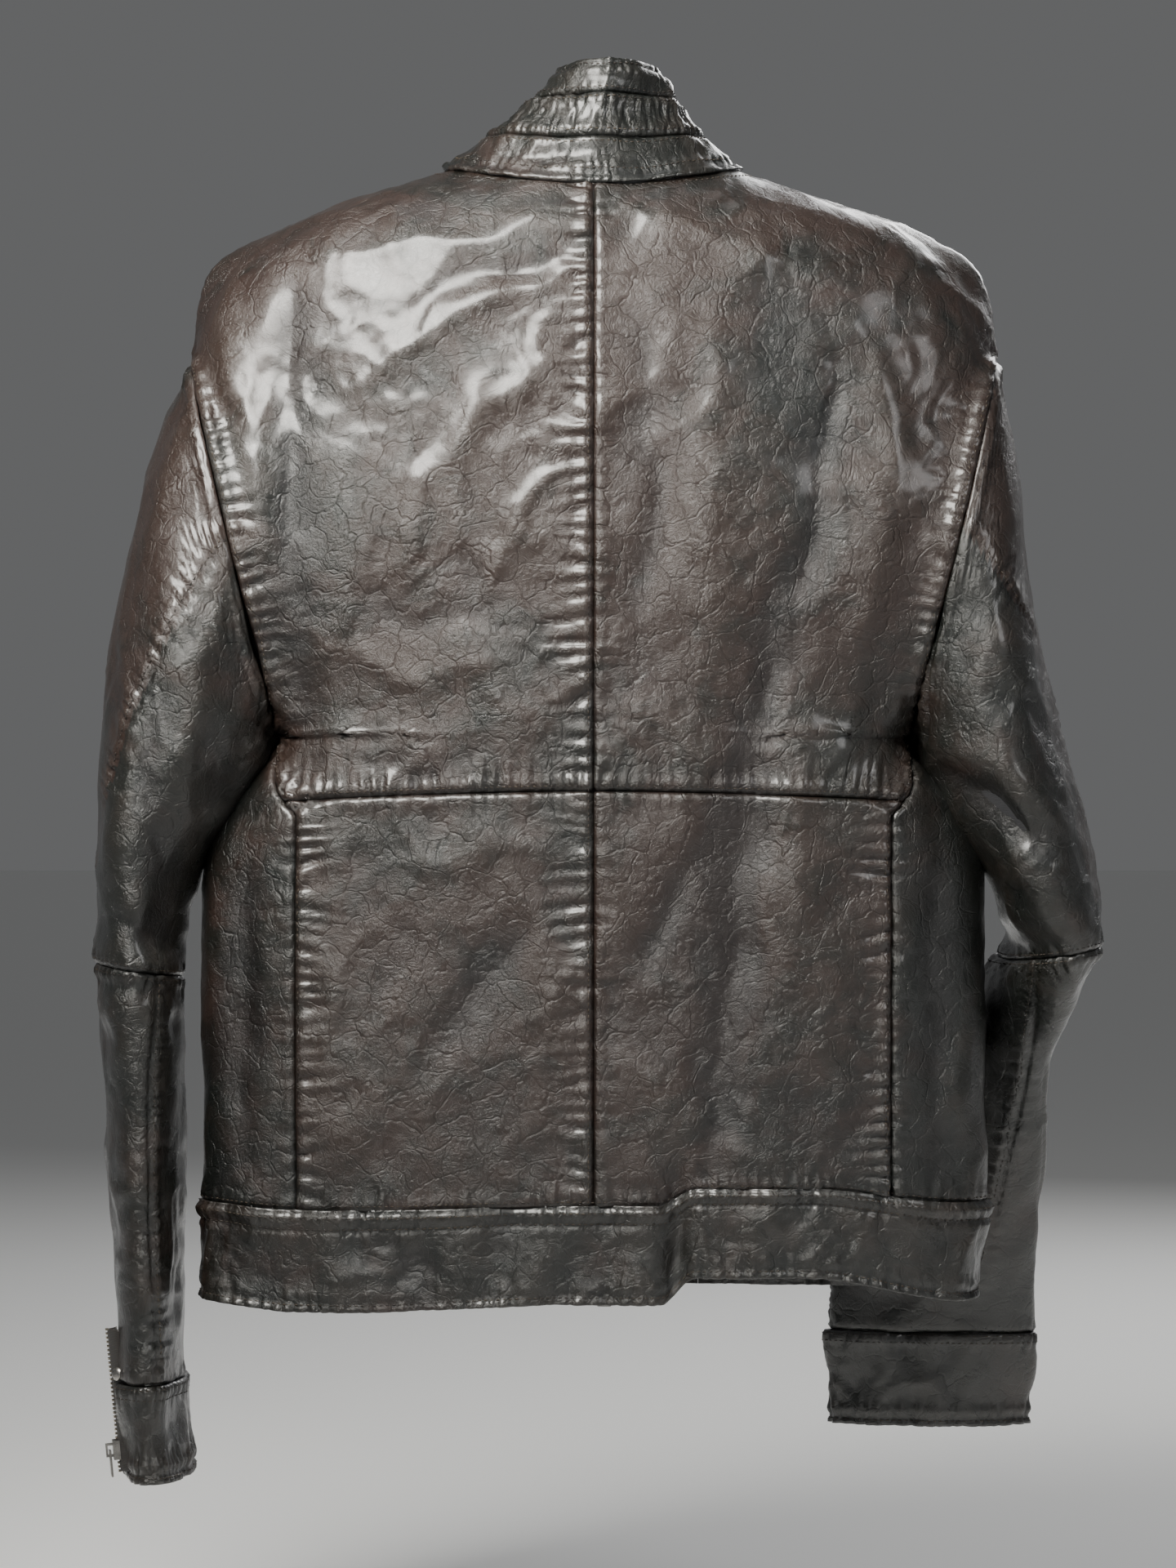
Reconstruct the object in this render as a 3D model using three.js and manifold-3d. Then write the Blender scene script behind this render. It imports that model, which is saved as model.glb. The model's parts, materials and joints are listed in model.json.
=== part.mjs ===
// A leather riding jacket, hanging up with its front undone. Millimetres, +Z up, +X to the wearer's left,
// -Y to the wearer's front. The origin is the middle of the neck opening, level with the neck seam, where
// a hanger carries it. Every leather piece is a sheet of the cut shape, laid on one body surface or on one
// sleeve surface, so that neighbouring pieces meet along the same seam lines.
import * as THREE from 'three';
import { mergeVertices } from 'three/addons/utils/BufferGeometryUtils.js';
import Module from 'manifold-3d';

const wasm = await Module();
wasm.setup();

// ---- Driving dimensions -------------------------------------------------------------------------------

// Body, from the neck down
const NECK_LEVEL = 5;            // neck seam at the shoulder
const NECK_HALF_WIDTH = 81;
const NECK_BACK_DEPTH = 58;
const BACK_NECK_DROP = 12;       // neck seam at the centre back, below the shoulder
const FRONT_NECK_DROP = 67;
const FRONT_DEPTH = 72;          // the centre front hangs in one upright plane
const SIDE_SHIFT = 5;            // the side line is a little behind the middle
const SHOULDER_HALF_WIDTH = 233; // at the top of the armhole
const UNDERARM_HALF_WIDTH = 181;
const HEM_HALF_WIDTH = 226;
const CHEST_BACK_DEPTH = 87;
const HEM_BACK_DEPTH = 66;
const ARMHOLE_TOP = -106;
const ARMHOLE_DEPTH = 217;
const ARMHOLE_HALF_WIDTH = 66;
const BODY_LENGTH = 652;         // neck seam to hem edge
const HEM_BAND_HEIGHT = 55;
const MID_BACK_SEAM = 360;       // below the neck seam
const SIDE_BACK_SEAM_X = 170;
const FRONT_FOLD_X = 62;         // the upright line that each front swings about

// Sleeves
const SLEEVE_LENGTH = 645;       // armhole top to cuff edge
const CUFF_HEIGHT = 56;

// Collar
const COLLAR_STAND_HEIGHT = 23;
const COLLAR_BAND_HEIGHT = 26;
const COLLAR_TOP_HEIGHT = 20;

// Materials and clearances
const LEATHER = 1.2;
const LINING = 0.8;
const LINING_GAP = 4;            // room for seam allowances and wadding
const SEAM_GAP = 0.5;            // half the slit between two pieces at a seam
const BAND_PROUD = 1;            // a band stands this far outside the panels
const POCKET_BAG = 2.4;
const HANG_LOOP_HALF = 30;
const HANG_LOOP_WIDTH = 8;

// Zips
const FRONT_GAP = 5;             // half the space between the two fronts
const CHAIN_WIDTH = 6;
const CHAIN_THICK = 2;
const ZIP_CLEARANCE = 0.5;
const SLIDER_LENGTH = 11;
const PULL_LENGTH = 30;
const PULL_THICK = 1.2;
const POCKET_ZIP_LENGTH = 150;
const POCKET_ZIP_X = 148;
const POCKET_ZIP_TOP = 400;      // below the neck seam
const CUFF_ZIP_LENGTH = 90;
const CUFF_SLIDER_FOOT = 8;
const CUFF_PULL_LENGTH = 15;

// ---- Derived levels -----------------------------------------------------------------------------------

const HEM = NECK_LEVEL - BODY_LENGTH;
const BAND_SEAM = HEM + HEM_BAND_HEIGHT;
const ARMHOLE_BOTTOM = ARMHOLE_TOP - ARMHOLE_DEPTH;
const ARMHOLE_MIDDLE = (ARMHOLE_TOP + ARMHOLE_BOTTOM) / 2;
const LOWER_BODY = ARMHOLE_BOTTOM - HEM;
const MID_SEAM = NECK_LEVEL - MID_BACK_SEAM;
const LINING_INSET = LEATHER + LINING_GAP;

const LEATHER_FINISH = { color: 0x3b302b, roughness: 0.35, metalness: 0 };
const LINING_FINISH = { color: 0x232326, roughness: 0.75, metalness: 0 };
const METAL_FINISH = { color: 0x8d8a84, roughness: 0.3, metalness: 1 };

const jacket = new THREE.Group();

function add(name, geometry, finish) {
  const mesh = new THREE.Mesh(geometry, new THREE.MeshStandardMaterial(finish));
  mesh.name = name;
  jacket.add(mesh);
}

// ---- Curves through key values ------------------------------------------------------------------------

// A smooth curve through [at, value] pairs, in rising order of at; value is held beyond the ends.
function through(keys, at) {
  const last = keys.length - 1;
  if (at <= keys[0][0]) return keys[0][1];
  if (at >= keys[last][0]) return keys[last][1];
  let i = 0;
  while (at > keys[i + 1][0]) i += 1;
  const slope = (k) => {
    const before = keys[Math.max(k - 1, 0)];
    const after = keys[Math.min(k + 1, last)];
    return (after[1] - before[1]) / (after[0] - before[0]);
  };
  const span = keys[i + 1][0] - keys[i][0];
  const t = (at - keys[i][0]) / span;
  const t2 = t * t;
  const t3 = t2 * t;
  return (2 * t3 - 3 * t2 + 1) * keys[i][1] + (t3 - 2 * t2 + t) * span * slope(i)
    + (3 * t2 - 2 * t3) * keys[i + 1][1] + (t3 - t2) * span * slope(i + 1);
}

const lerp = (a, b, t) => a + (b - a) * t;

// ---- The body surface ---------------------------------------------------------------------------------

// Each level of the body is a ring, named by its height at the side. The keys run downwards as depths
// below the neck seam, because that is how a jacket is measured.
const depthOf = (height) => NECK_LEVEL - height;
const armholeTopDepth = depthOf(ARMHOLE_TOP);
const armholeBottomDepth = depthOf(ARMHOLE_BOTTOM);

const shoulderRise = SHOULDER_HALF_WIDTH - NECK_HALF_WIDTH;
const WIDTH_KEYS = [
  [0, NECK_HALF_WIDTH],
  [0.15 * armholeTopDepth, NECK_HALF_WIDTH + 0.31 * shoulderRise],
  [0.3 * armholeTopDepth, NECK_HALF_WIDTH + 0.62 * shoulderRise],
  [0.46 * armholeTopDepth, NECK_HALF_WIDTH + 0.875 * shoulderRise],
  [0.69 * armholeTopDepth, NECK_HALF_WIDTH + 0.975 * shoulderRise],
  [armholeTopDepth, SHOULDER_HALF_WIDTH],
];
const flare = HEM_HALF_WIDTH - UNDERARM_HALF_WIDTH;
const FLARE_KEYS = [[0, 0], [0.06, 0.01], [0.12, 0.13], [0.19, 0.36], [0.27, 0.62], [0.36, 0.84],
  [0.48, 0.99], [0.73, 1.05], [0.85, 1.03], [1, 1]];

function bodyHalfWidth(height) {
  const depth = depthOf(height);
  if (depth <= armholeTopDepth) return through(WIDTH_KEYS, depth);
  if (depth <= armholeBottomDepth) {
    const share = (depth - armholeTopDepth) / ARMHOLE_DEPTH;
    return lerp(SHOULDER_HALF_WIDTH, UNDERARM_HALF_WIDTH, share);
  }
  return UNDERARM_HALF_WIDTH + flare * through(FLARE_KEYS, (ARMHOLE_BOTTOM - height) / LOWER_BODY);
}

const BACK_DEPTH_KEYS = [
  [0, NECK_BACK_DEPTH],
  [0.3 * armholeTopDepth, lerp(NECK_BACK_DEPTH, CHEST_BACK_DEPTH, 0.5)],
  [armholeTopDepth, lerp(NECK_BACK_DEPTH, CHEST_BACK_DEPTH, 0.93)],
  [0.35 * BODY_LENGTH, CHEST_BACK_DEPTH],
  [0.6 * BODY_LENGTH, lerp(CHEST_BACK_DEPTH, HEM_BACK_DEPTH, 0.45)],
  [BODY_LENGTH, HEM_BACK_DEPTH],
];
const FRONT_DROP_KEYS = [[0, 1], [0.4 * armholeTopDepth, 0.72], [armholeTopDepth, 0.4],
  [armholeTopDepth + 0.5 * ARMHOLE_DEPTH, 0]];
const BACK_DROP_KEYS = [[0, 1], [0.3 * armholeTopDepth, 0.4], [0.7 * armholeTopDepth, 0]];
const SQUARENESS_KEYS = [[0, 1], [armholeTopDepth, 0.82], [armholeBottomDepth, 0.76], [BODY_LENGTH, 0.72]];
const ARMHOLE_POWER = 1.6; // across the armhole the body is nearly flat, with no corner at the side

// How far the armhole's edge is from the side line, zero above and below the armhole.
function armholeSpread(height) {
  const rise = (height - ARMHOLE_MIDDLE) / (ARMHOLE_DEPTH / 2);
  return Math.abs(rise) < 1 ? ARMHOLE_HALF_WIDTH * Math.sqrt(1 - rise * rise) : 0;
}

const QUARTER_STEPS = 60;
const quarters = new Map();

// A quarter of a ring, from the centre line (0) to the side or the armhole's edge (1), by length.
function quarter(height, isBack) {
  const key = `${height} ${isBack}`;
  if (!quarters.has(key)) {
    const depth = depthOf(height);
    const width = bodyHalfWidth(height);
    const way = isBack ? 1 : -1;
    const spread = armholeSpread(height);
    const edge = SIDE_SHIFT + way * spread;
    const centre = isBack ? through(BACK_DEPTH_KEYS, depth) : -FRONT_DEPTH;
    const power = lerp(through(SQUARENESS_KEYS, depth), ARMHOLE_POWER, spread / ARMHOLE_HALF_WIDTH);
    const points = [];
    let length = 0;
    for (let i = 0; i <= QUARTER_STEPS; i += 1) {
      const angle = (Math.PI / 2) * (i / QUARTER_STEPS);
      const x = width * Math.sin(angle) ** power;
      const y = edge + (centre - edge) * Math.max(Math.cos(angle), 0) ** power;
      if (i > 0) length += Math.hypot(x - points[i - 1].x, y - points[i - 1].y);
      points.push({ x, y, length });
    }
    quarters.set(key, { points, length, width });
  }
  return quarters.get(key);
}

// The share of a quarter's length at which it is x from the centre line.
function shareAtX(height, isBack, x) {
  const { points, length } = quarter(height, isBack);
  let i = 0;
  while (i < QUARTER_STEPS - 1 && points[i + 1].x < x) i += 1;
  const t = THREE.MathUtils.clamp((x - points[i].x) / (points[i + 1].x - points[i].x), 0, 1);
  return lerp(points[i].length, points[i + 1].length, t) / length;
}

// A point of the body surface. round is 0 at the centre back, 1 at the left side, 2 at the centre front
// on the left, and the same with a minus sign on the right. inset draws it into the body on all sides.
const INSET_EASE = 15;
function bodyPoint(round, height, inset = 0) {
  const isBack = Math.abs(round) <= 1;
  const share = isBack ? Math.abs(round) : 2 - Math.abs(round);
  const { points, length, width } = quarter(height, isBack);
  const target = THREE.MathUtils.clamp(share, 0, 1) * length;
  let i = 0;
  while (i < QUARTER_STEPS - 1 && points[i + 1].length < target) i += 1;
  const t = (target - points[i].length) / (points[i + 1].length - points[i].length);
  const x = lerp(points[i].x, points[i + 1].x, t);
  const y = lerp(points[i].y, points[i + 1].y, t);
  const drop = isBack
    ? BACK_NECK_DROP * through(BACK_DROP_KEYS, depthOf(height))
    : FRONT_NECK_DROP * through(FRONT_DROP_KEYS, depthOf(height));
  const inX = inset * (x / width);
  const inY = inset * THREE.MathUtils.clamp((y - SIDE_SHIFT) / INSET_EASE, -1, 1);
  const inZ = inset * THREE.MathUtils.clamp(1 - depthOf(height) / armholeTopDepth, 0, 1);
  const z = height - drop * (1 - (x / width) ** 2);
  return new THREE.Vector3(Math.sign(round || 1) * (x - inX), y - inY, z - inZ);
}

// ---- The sleeve surfaces ------------------------------------------------------------------------------

// A station is one cross-section: how far down the sleeve it is, its clearance from the side of the body,
// its thin half width, how much higher its outer edge is than its middle, its deep half width, its place
// front to back, and its turn about the upright. Where x is given, it replaces the clearance. Near the
// armhole a station takes the share head of the armhole's own slant, height and depth, and adds to it.
const HANGING_SLEEVE = [
  { down: 0.230, head: 0.8, clear: 7, thin: 12.2, lift: 4.2, deep: 17.2, y: 5, turn: 0 },
  { down: 0.285, head: 0.6, clear: 12, thin: 18.4, lift: 7.9, deep: 33.4, y: 5, turn: 0 },
  { down: 0.350, head: 0.4, clear: 19, thin: 21.6, lift: 7.6, deep: 47.6, y: 4, turn: 0 },
  { down: 0.413, head: 0.2, clear: 23, thin: 22.8, lift: 10.3, deep: 59.8, y: 3, turn: 0 },
  { down: 0.479, head: 0.1, clear: 23, thin: 21.4, lift: 4.15, deep: 63.4, y: 2, turn: 0 },
  { down: 0.545, clear: 21, thin: 21.5, lift: 4, deep: 67, y: 0, turn: 0 },
  { down: 0.637, clear: 19, thin: 19.5, lift: 2, deep: 64, y: -2, turn: 0 },
  { down: 0.752, clear: 18, thin: 18.5, lift: 1, deep: 61, y: -4, turn: 0 },
  { down: 0.847, clear: 16, thin: 18, lift: 0, deep: 59, y: -6, turn: 0 },
  { down: 0.924, clear: 13, thin: 18, lift: 0, deep: 58, y: -7, turn: 0 },
  { down: 1.000, clear: 9, thin: 17, lift: 0, deep: 58, y: -8, turn: 0 },
];
const hemX = (outside) => HEM_HALF_WIDTH + outside;
const frontY = (before) => -FRONT_DEPTH - before;
const BENT_SLEEVE = [
  { down: 0.230, head: 0.8, clear: 7, thin: 7.2, lift: 4.2, deep: 17.2, y: 5, turn: 0 },
  { down: 0.285, head: 0.6, clear: 12, thin: 9.4, lift: 7.9, deep: 33.4, y: 4, turn: 0 },
  { down: 0.350, head: 0.4, clear: 18, thin: 12.6, lift: 7.6, deep: 47.6, y: 2, turn: 0 },
  { down: 0.413, head: 0.2, clear: 22, thin: 18.8, lift: 8.3, deep: 59.8, y: -1, turn: 0 },
  { down: 0.476, head: 0.1, clear: 21, thin: 23.9, lift: 3.15, deep: 63.4, y: -6, turn: 0 },
  { down: 0.530, clear: 19, thin: 25, lift: 5, deep: 67, y: -17, turn: 10 },
  { down: 0.630, x: hemX(7), thin: 20, lift: 0, deep: 65, y: frontY(-10), turn: 38 },
  { down: 0.742, x: hemX(-12), thin: 19, lift: 0, deep: 63, y: frontY(22), turn: 62 },
  { down: 0.852, x: hemX(-23), thin: 18, lift: 0, deep: 62, y: frontY(40), turn: 78 },
  { down: 0.915, x: hemX(-24), thin: 18, lift: 0, deep: 61, y: frontY(47), turn: 84 },
  { down: 0.975, x: hemX(-24), thin: 17, lift: 0, deep: 61, y: frontY(52), turn: 86 },
];
const CUFF_STATION = 11;

// The first station is the armhole itself; the others follow the list.
function sleeveStations(list) {
  const armhole = {
    x: (SHOULDER_HALF_WIDTH + UNDERARM_HALF_WIDTH) / 2,
    y: SIDE_SHIFT,
    z: ARMHOLE_MIDDLE,
    thin: (SHOULDER_HALF_WIDTH - UNDERARM_HALF_WIDTH) / 2,
    lift: ARMHOLE_DEPTH / 2,
    deep: ARMHOLE_HALF_WIDTH,
    turn: 0,
  };
  const rest = list.map(({ head = 0, ...s }) => {
    const z = ARMHOLE_TOP - s.down * SLEEVE_LENGTH;
    const thin = s.thin + head * armhole.thin;
    const lift = s.lift + head * armhole.lift;
    const deep = s.deep + head * armhole.deep;
    const x = s.x ?? bodyHalfWidth(Math.max(z - lift, HEM)) + s.clear + thin;
    return { ...s, thin, lift, deep, x, z };
  });
  return [armhole, ...rest];
}

const SLEEVES = {
  left: { side: 1, stations: sleeveStations(HANGING_SLEEVE) },
  right: { side: -1, stations: sleeveStations(BENT_SLEEVE) },
};

const stationValue = (sleeve, field, at) => through(sleeve.stations.map((s, i) => [i, s[field]]), at);

// A point of a sleeve surface. round runs once about it from the outer edge, so that the front follows
// on the left sleeve and the back on the right one; at counts stations from the armhole.
function sleevePoint(sleeve, round, at) {
  const angle = -sleeve.side * 2 * Math.PI * round;
  const turn = THREE.MathUtils.degToRad(stationValue(sleeve, 'turn', at));
  const thin = stationValue(sleeve, 'thin', at) * Math.cos(angle);
  const deep = stationValue(sleeve, 'deep', at) * Math.sin(angle);
  const out = thin * Math.cos(turn) + deep * Math.sin(turn);
  const back = deep * Math.cos(turn) - thin * Math.sin(turn);
  return new THREE.Vector3(
    sleeve.side * (stationValue(sleeve, 'x', at) + out),
    stationValue(sleeve, 'y', at) + back,
    stationValue(sleeve, 'z', at) + stationValue(sleeve, 'lift', at) * Math.cos(angle),
  );
}

// ---- Sheets -------------------------------------------------------------------------------------------

function geometryOf(vertices, triangles) {
  const geometry = new THREE.BufferGeometry();
  geometry.setAttribute('position', new THREE.Float32BufferAttribute(vertices.flat(), 3));
  geometry.setIndex(triangles.flat());
  geometry.computeVertexNormals();
  return geometry;
}

// A closed sheet on the surface point(across, down), between the offsets outside and inside from it.
// across runs so that the outside is on the right-hand side of across x down. A ring joins up.
function sheet(point, acrossAt, downAt, outside, inside, ring = false) {
  const step = 1e-3;
  const first = [acrossAt[0], downAt[0]];
  const last = [acrossAt[acrossAt.length - 1], downAt[downAt.length - 1]];
  const inAcross = (v) => (ring ? v : THREE.MathUtils.clamp(v, first[0], last[0]));
  const inDown = (v) => THREE.MathUtils.clamp(v, Math.min(first[1], last[1]), Math.max(first[1], last[1]));
  const downWay = Math.sign(last[1] - first[1]);
  const columns = ring ? acrossAt.length - 1 : acrossAt.length;
  const rows = downAt.length;
  const layers = [[], []];
  for (const down of downAt) {
    for (let c = 0; c < columns; c += 1) {
      const across = acrossAt[c];
      const alongAcross = point(inAcross(across + step), down).sub(point(inAcross(across - step), down));
      const alongDown = point(across, inDown(down + downWay * step))
        .sub(point(across, inDown(down - downWay * step)));
      const normal = alongAcross.cross(alongDown).normalize();
      const base = point(across, down);
      layers[0].push(base.clone().addScaledVector(normal, outside).toArray());
      layers[1].push(base.clone().addScaledVector(normal, inside).toArray());
    }
  }
  const count = columns * rows;
  const index = (layer, row, column) => layer * count + row * columns + (column % columns);
  const triangles = [];
  const quad = (a, b, c, d) => triangles.push([a, b, c], [a, c, d]);
  const cells = ring ? columns : columns - 1;
  for (let r = 0; r < rows - 1; r += 1) {
    for (let c = 0; c < cells; c += 1) {
      quad(index(0, r, c), index(0, r, c + 1), index(0, r + 1, c + 1), index(0, r + 1, c));
      quad(index(1, r, c), index(1, r + 1, c), index(1, r + 1, c + 1), index(1, r, c + 1));
    }
    if (!ring) {
      quad(index(0, r, 0), index(0, r + 1, 0), index(1, r + 1, 0), index(1, r, 0));
      quad(index(0, r, cells), index(1, r, cells), index(1, r + 1, cells), index(0, r + 1, cells));
    }
  }
  for (let c = 0; c < cells; c += 1) {
    quad(index(0, 0, c), index(1, 0, c), index(1, 0, c + 1), index(0, 0, c + 1));
    quad(index(0, rows - 1, c), index(0, rows - 1, c + 1), index(1, rows - 1, c + 1), index(1, rows - 1, c));
  }
  const flipped = triangles.map(([a, b, c]) => [a, c, b]);
  return geometryOf([...layers[0], ...layers[1]], signedVolume([...layers[0], ...layers[1]], triangles) > 0
    ? triangles : flipped);
}

function signedVolume(vertices, triangles) {
  let volume = 0;
  for (const [a, b, c] of triangles) {
    const [p, q, r] = [vertices[a], vertices[b], vertices[c]].map((v) => new THREE.Vector3(...v));
    volume += p.dot(q.cross(r)) / 6;
  }
  return volume;
}

const evenly = (from, to, cells) => Array.from({ length: cells + 1 }, (_, i) => lerp(from, to, i / cells));

// The levels that every body sheet shares, so that a lining runs parallel to its leather.
const SHOULDER_ROWS = 8;
const ARMHOLE_ROWS = 8;
const LOWER_ROWS = 6;
const BODY_LEVELS = [
  ...evenly(0, 1, SHOULDER_ROWS).map((share) => lerp(NECK_LEVEL, ARMHOLE_TOP, share ** 1.3)),
  ...evenly(0, Math.PI, ARMHOLE_ROWS).slice(1, -1)
    .map((angle) => ARMHOLE_MIDDLE + (ARMHOLE_DEPTH / 2) * Math.cos(angle)),
  ...evenly(ARMHOLE_BOTTOM, MID_SEAM, 2).slice(0, -1),
  ...evenly(MID_SEAM, BAND_SEAM, LOWER_ROWS),
  ...evenly(BAND_SEAM, HEM, 2).slice(1),
];

function levelsBetween(top, bottom) {
  const nearest = 6;
  const inner = BODY_LEVELS.filter((v) => v < top - nearest && v > bottom + nearest);
  return [top, ...inner, bottom];
}

// A piece of the body between two seam lines, given as rounds for a level, on one side or across both.
function bodyPiece(top, bottom, from, to, cells, outside, inside, inset = 0) {
  const point = (across, level) => bodyPoint(lerp(from(level), to(level), across), level, inset);
  return sheet(point, evenly(0, 1, cells), levelsBetween(top, bottom), outside, inside);
}

// ---- Seam lines on the body ---------------------------------------------------------------------------

// A slit of SEAM_GAP as a share of a quarter's length.
const slit = (level, isBack) => SEAM_GAP / quarter(level, isBack).length;
const SIDE_FRONT_ROUND = 1.3;

// The seam down the side of the back, from the bottom of the armhole to the hem.
function sideBackSeam(level) {
  const sink = THREE.MathUtils.clamp((ARMHOLE_BOTTOM - level) / (0.14 * LOWER_BODY), 0, 1);
  const x = lerp(bodyHalfWidth(level), SIDE_BACK_SEAM_X, sink);
  return shareAtX(level, true, Math.min(x, bodyHalfWidth(level) * 0.985));
}

const backEdge = (level) => (level > ARMHOLE_BOTTOM + SEAM_GAP ? 1 - 2 * slit(level, true)
  : sideBackSeam(level) - slit(level, true));

// The fold that each front edge swings about: upright, and drawn in a little at the neck.
const FOLD_KEYS = [[0, 0.94], [0.5 * armholeTopDepth, 1]];
const foldX = (level) => FRONT_FOLD_X * through(FOLD_KEYS, depthOf(level));
const foldRound = (level, shift) => 2 - shareAtX(level, false, foldX(level) + shift);
const SIDE_OF_FOLD = 1.2;
const BAND_SIDE_OF_FOLD = 2.5;

const frontRound = (level, x) => 2 - shareAtX(level, false, x);
const sideFront = (level) => (level > ARMHOLE_BOTTOM + SEAM_GAP ? 1 + 2 * slit(level, false)
  : SIDE_FRONT_ROUND + slit(level, false));

const BAND_GAP = 2 * SEAM_GAP;
const FRONT_EDGE = FRONT_GAP + CHAIN_WIDTH + 0.8;

for (const [word, side] of [['left', 1], ['right', -1]]) {
  const edges = (from, to) => (side > 0 ? [from, to] : [(v) => -to(v), (v) => -from(v)]);

  add(`back_upper_${word}`, bodyPiece(NECK_LEVEL, MID_SEAM + SEAM_GAP,
    ...edges((v) => slit(v, true), backEdge), 9, 0, -LEATHER), LEATHER_FINISH);

  add(`back_lower_${word}`, bodyPiece(MID_SEAM - SEAM_GAP, BAND_SEAM + BAND_GAP,
    ...edges((v) => slit(v, true), (v) => sideBackSeam(v) - slit(v, true)), 8, 0, -LEATHER),
    LEATHER_FINISH);

  add(`side_panel_${word}`, bodyPiece(ARMHOLE_BOTTOM - 2 * SEAM_GAP, BAND_SEAM + BAND_GAP,
    ...edges((v) => sideBackSeam(v) + slit(v, true), (v) => SIDE_FRONT_ROUND - slit(v, false)),
    7, 0, -LEATHER), LEATHER_FINISH);

  add(`front_side_${word}`, bodyPiece(NECK_LEVEL, BAND_SEAM + BAND_GAP,
    ...edges(sideFront, (v) => foldRound(v, SIDE_OF_FOLD)), 8, 0, -LEATHER), LEATHER_FINISH);

  add(`front_panel_${word}`, bodyPiece(NECK_LEVEL, BAND_SEAM + BAND_GAP,
    ...edges((v) => foldRound(v, -SIDE_OF_FOLD), (v) => frontRound(v, FRONT_EDGE)),
    3, 0, -LEATHER), LEATHER_FINISH);

  add(`front_facing_${word}`, bodyPiece(NECK_LEVEL - 4, HEM + 6,
    ...edges((v) => foldRound(v, -2 * SIDE_OF_FOLD), (v) => frontRound(v, FRONT_EDGE + 3)),
    3, 0, -LEATHER, LINING_INSET), LEATHER_FINISH);

  add(`front_lining_${word}`, bodyPiece(NECK_LEVEL - 6, BAND_SEAM,
    ...edges((v) => 1 + 30 * slit(v, false), (v) => foldRound(v, 2 * SIDE_OF_FOLD)), 8,
    0, -LINING, LINING_INSET), LINING_FINISH);

  add(`hem_band_front_${word}`, bodyPiece(BAND_SEAM, HEM,
    ...edges((v) => foldRound(v, -BAND_SIDE_OF_FOLD), (v) => frontRound(v, FRONT_EDGE)),
    4, BAND_PROUD, -2 * LEATHER), LEATHER_FINISH);
}

add('hem_band_back', bodyPiece(BAND_SEAM, HEM, (v) => -foldRound(v, BAND_SIDE_OF_FOLD),
  (v) => foldRound(v, BAND_SIDE_OF_FOLD), 30, BAND_PROUD, -2 * LEATHER), LEATHER_FINISH);

const liningEdge = (v) => 1 - 10 * slit(v, true);
add('back_lining', bodyPiece(NECK_LEVEL - 6, BAND_SEAM, (v) => -liningEdge(v), liningEdge, 16,
  0, -LINING, LINING_INSET), LINING_FINISH);

// ---- Collar -------------------------------------------------------------------------------------------

// The collar stands on the neck ring and, with no neck in it, leans in most at the sides. round is as on
// the body; the lean is in degrees from upright.
const COLLAR_HEIGHT = COLLAR_STAND_HEIGHT + COLLAR_BAND_HEIGHT + COLLAR_TOP_HEIGHT;
const COLLAR_LEAN_KEYS = [[0, 8], [0.5, 28], [1, 52], [1.4, 38], [2, 12]];
const COLLAR_STEP = 3;
const NECK_MIDDLE_Y = -5;

function collarPoint(round, above) {
  const base = bodyPoint(round, NECK_LEVEL);
  const lean = THREE.MathUtils.degToRad(through(COLLAR_LEAN_KEYS, Math.abs(round)));
  const inward = new THREE.Vector3(-base.x, NECK_MIDDLE_Y - base.y, 0).normalize();
  return base.setZ(base.z + COLLAR_STEP + above * Math.cos(lean))
    .addScaledVector(inward, above * Math.sin(lean));
}

const collarTiers = [
  ['stand', 0, COLLAR_STAND_HEIGHT - SEAM_GAP, 0.2],
  ['band', COLLAR_STAND_HEIGHT + SEAM_GAP, COLLAR_STAND_HEIGHT + COLLAR_BAND_HEIGHT - SEAM_GAP, 0.8],
  ['top', COLLAR_STAND_HEIGHT + COLLAR_BAND_HEIGHT + SEAM_GAP, COLLAR_HEIGHT, 0.2],
];
const WING_ROUND = foldRound(NECK_LEVEL, 0);
const WING_GAP = 0.012;
for (const [tier, low, high, proud] of collarTiers) {
  add(`collar_${tier}`, sheet(collarPoint, evenly(-WING_ROUND + WING_GAP, WING_ROUND - WING_GAP, 24),
    [high, low], proud, -2 * LEATHER), LEATHER_FINISH);
}
const wingEnd = frontRound(NECK_LEVEL, FRONT_EDGE);
for (const [word, side] of [['left', 1], ['right', -1]]) {
  const across = evenly(WING_ROUND + WING_GAP, wingEnd, 4).map((v) => side * v);
  if (side < 0) across.reverse();
  add(`collar_wing_${word}`, sheet(collarPoint, across, evenly(COLLAR_HEIGHT, 0, 3), 0.4, -2 * LEATHER),
    LEATHER_FINISH);
}

// ---- Sleeves ------------------------------------------------------------------------------------------

const HEAD_DROP = 4.38;           // how far the head of a sleeve starts below the armhole
const headStart = ({ stations }) => HEAD_DROP / (stations[0].z - stations[1].z);
const HEAD_END = 2;
const ELBOW_START = 4.6;
const ELBOW_END = 6.9;
const cuffTopStation = (sleeve) => {
  const stations = sleeve.stations;
  const edge = stations[CUFF_STATION].z;
  let at = CUFF_STATION;
  while (stationValue(sleeve, 'z', at) < edge + CUFF_HEIGHT && at > 0) at -= 0.02;
  return at;
};
const SPLIT_A = 0.25;
const SPLIT_B = 0.75;
const ROUND_SLIT = 0.0022;
const STATION_SLIT = 0.03;

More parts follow.
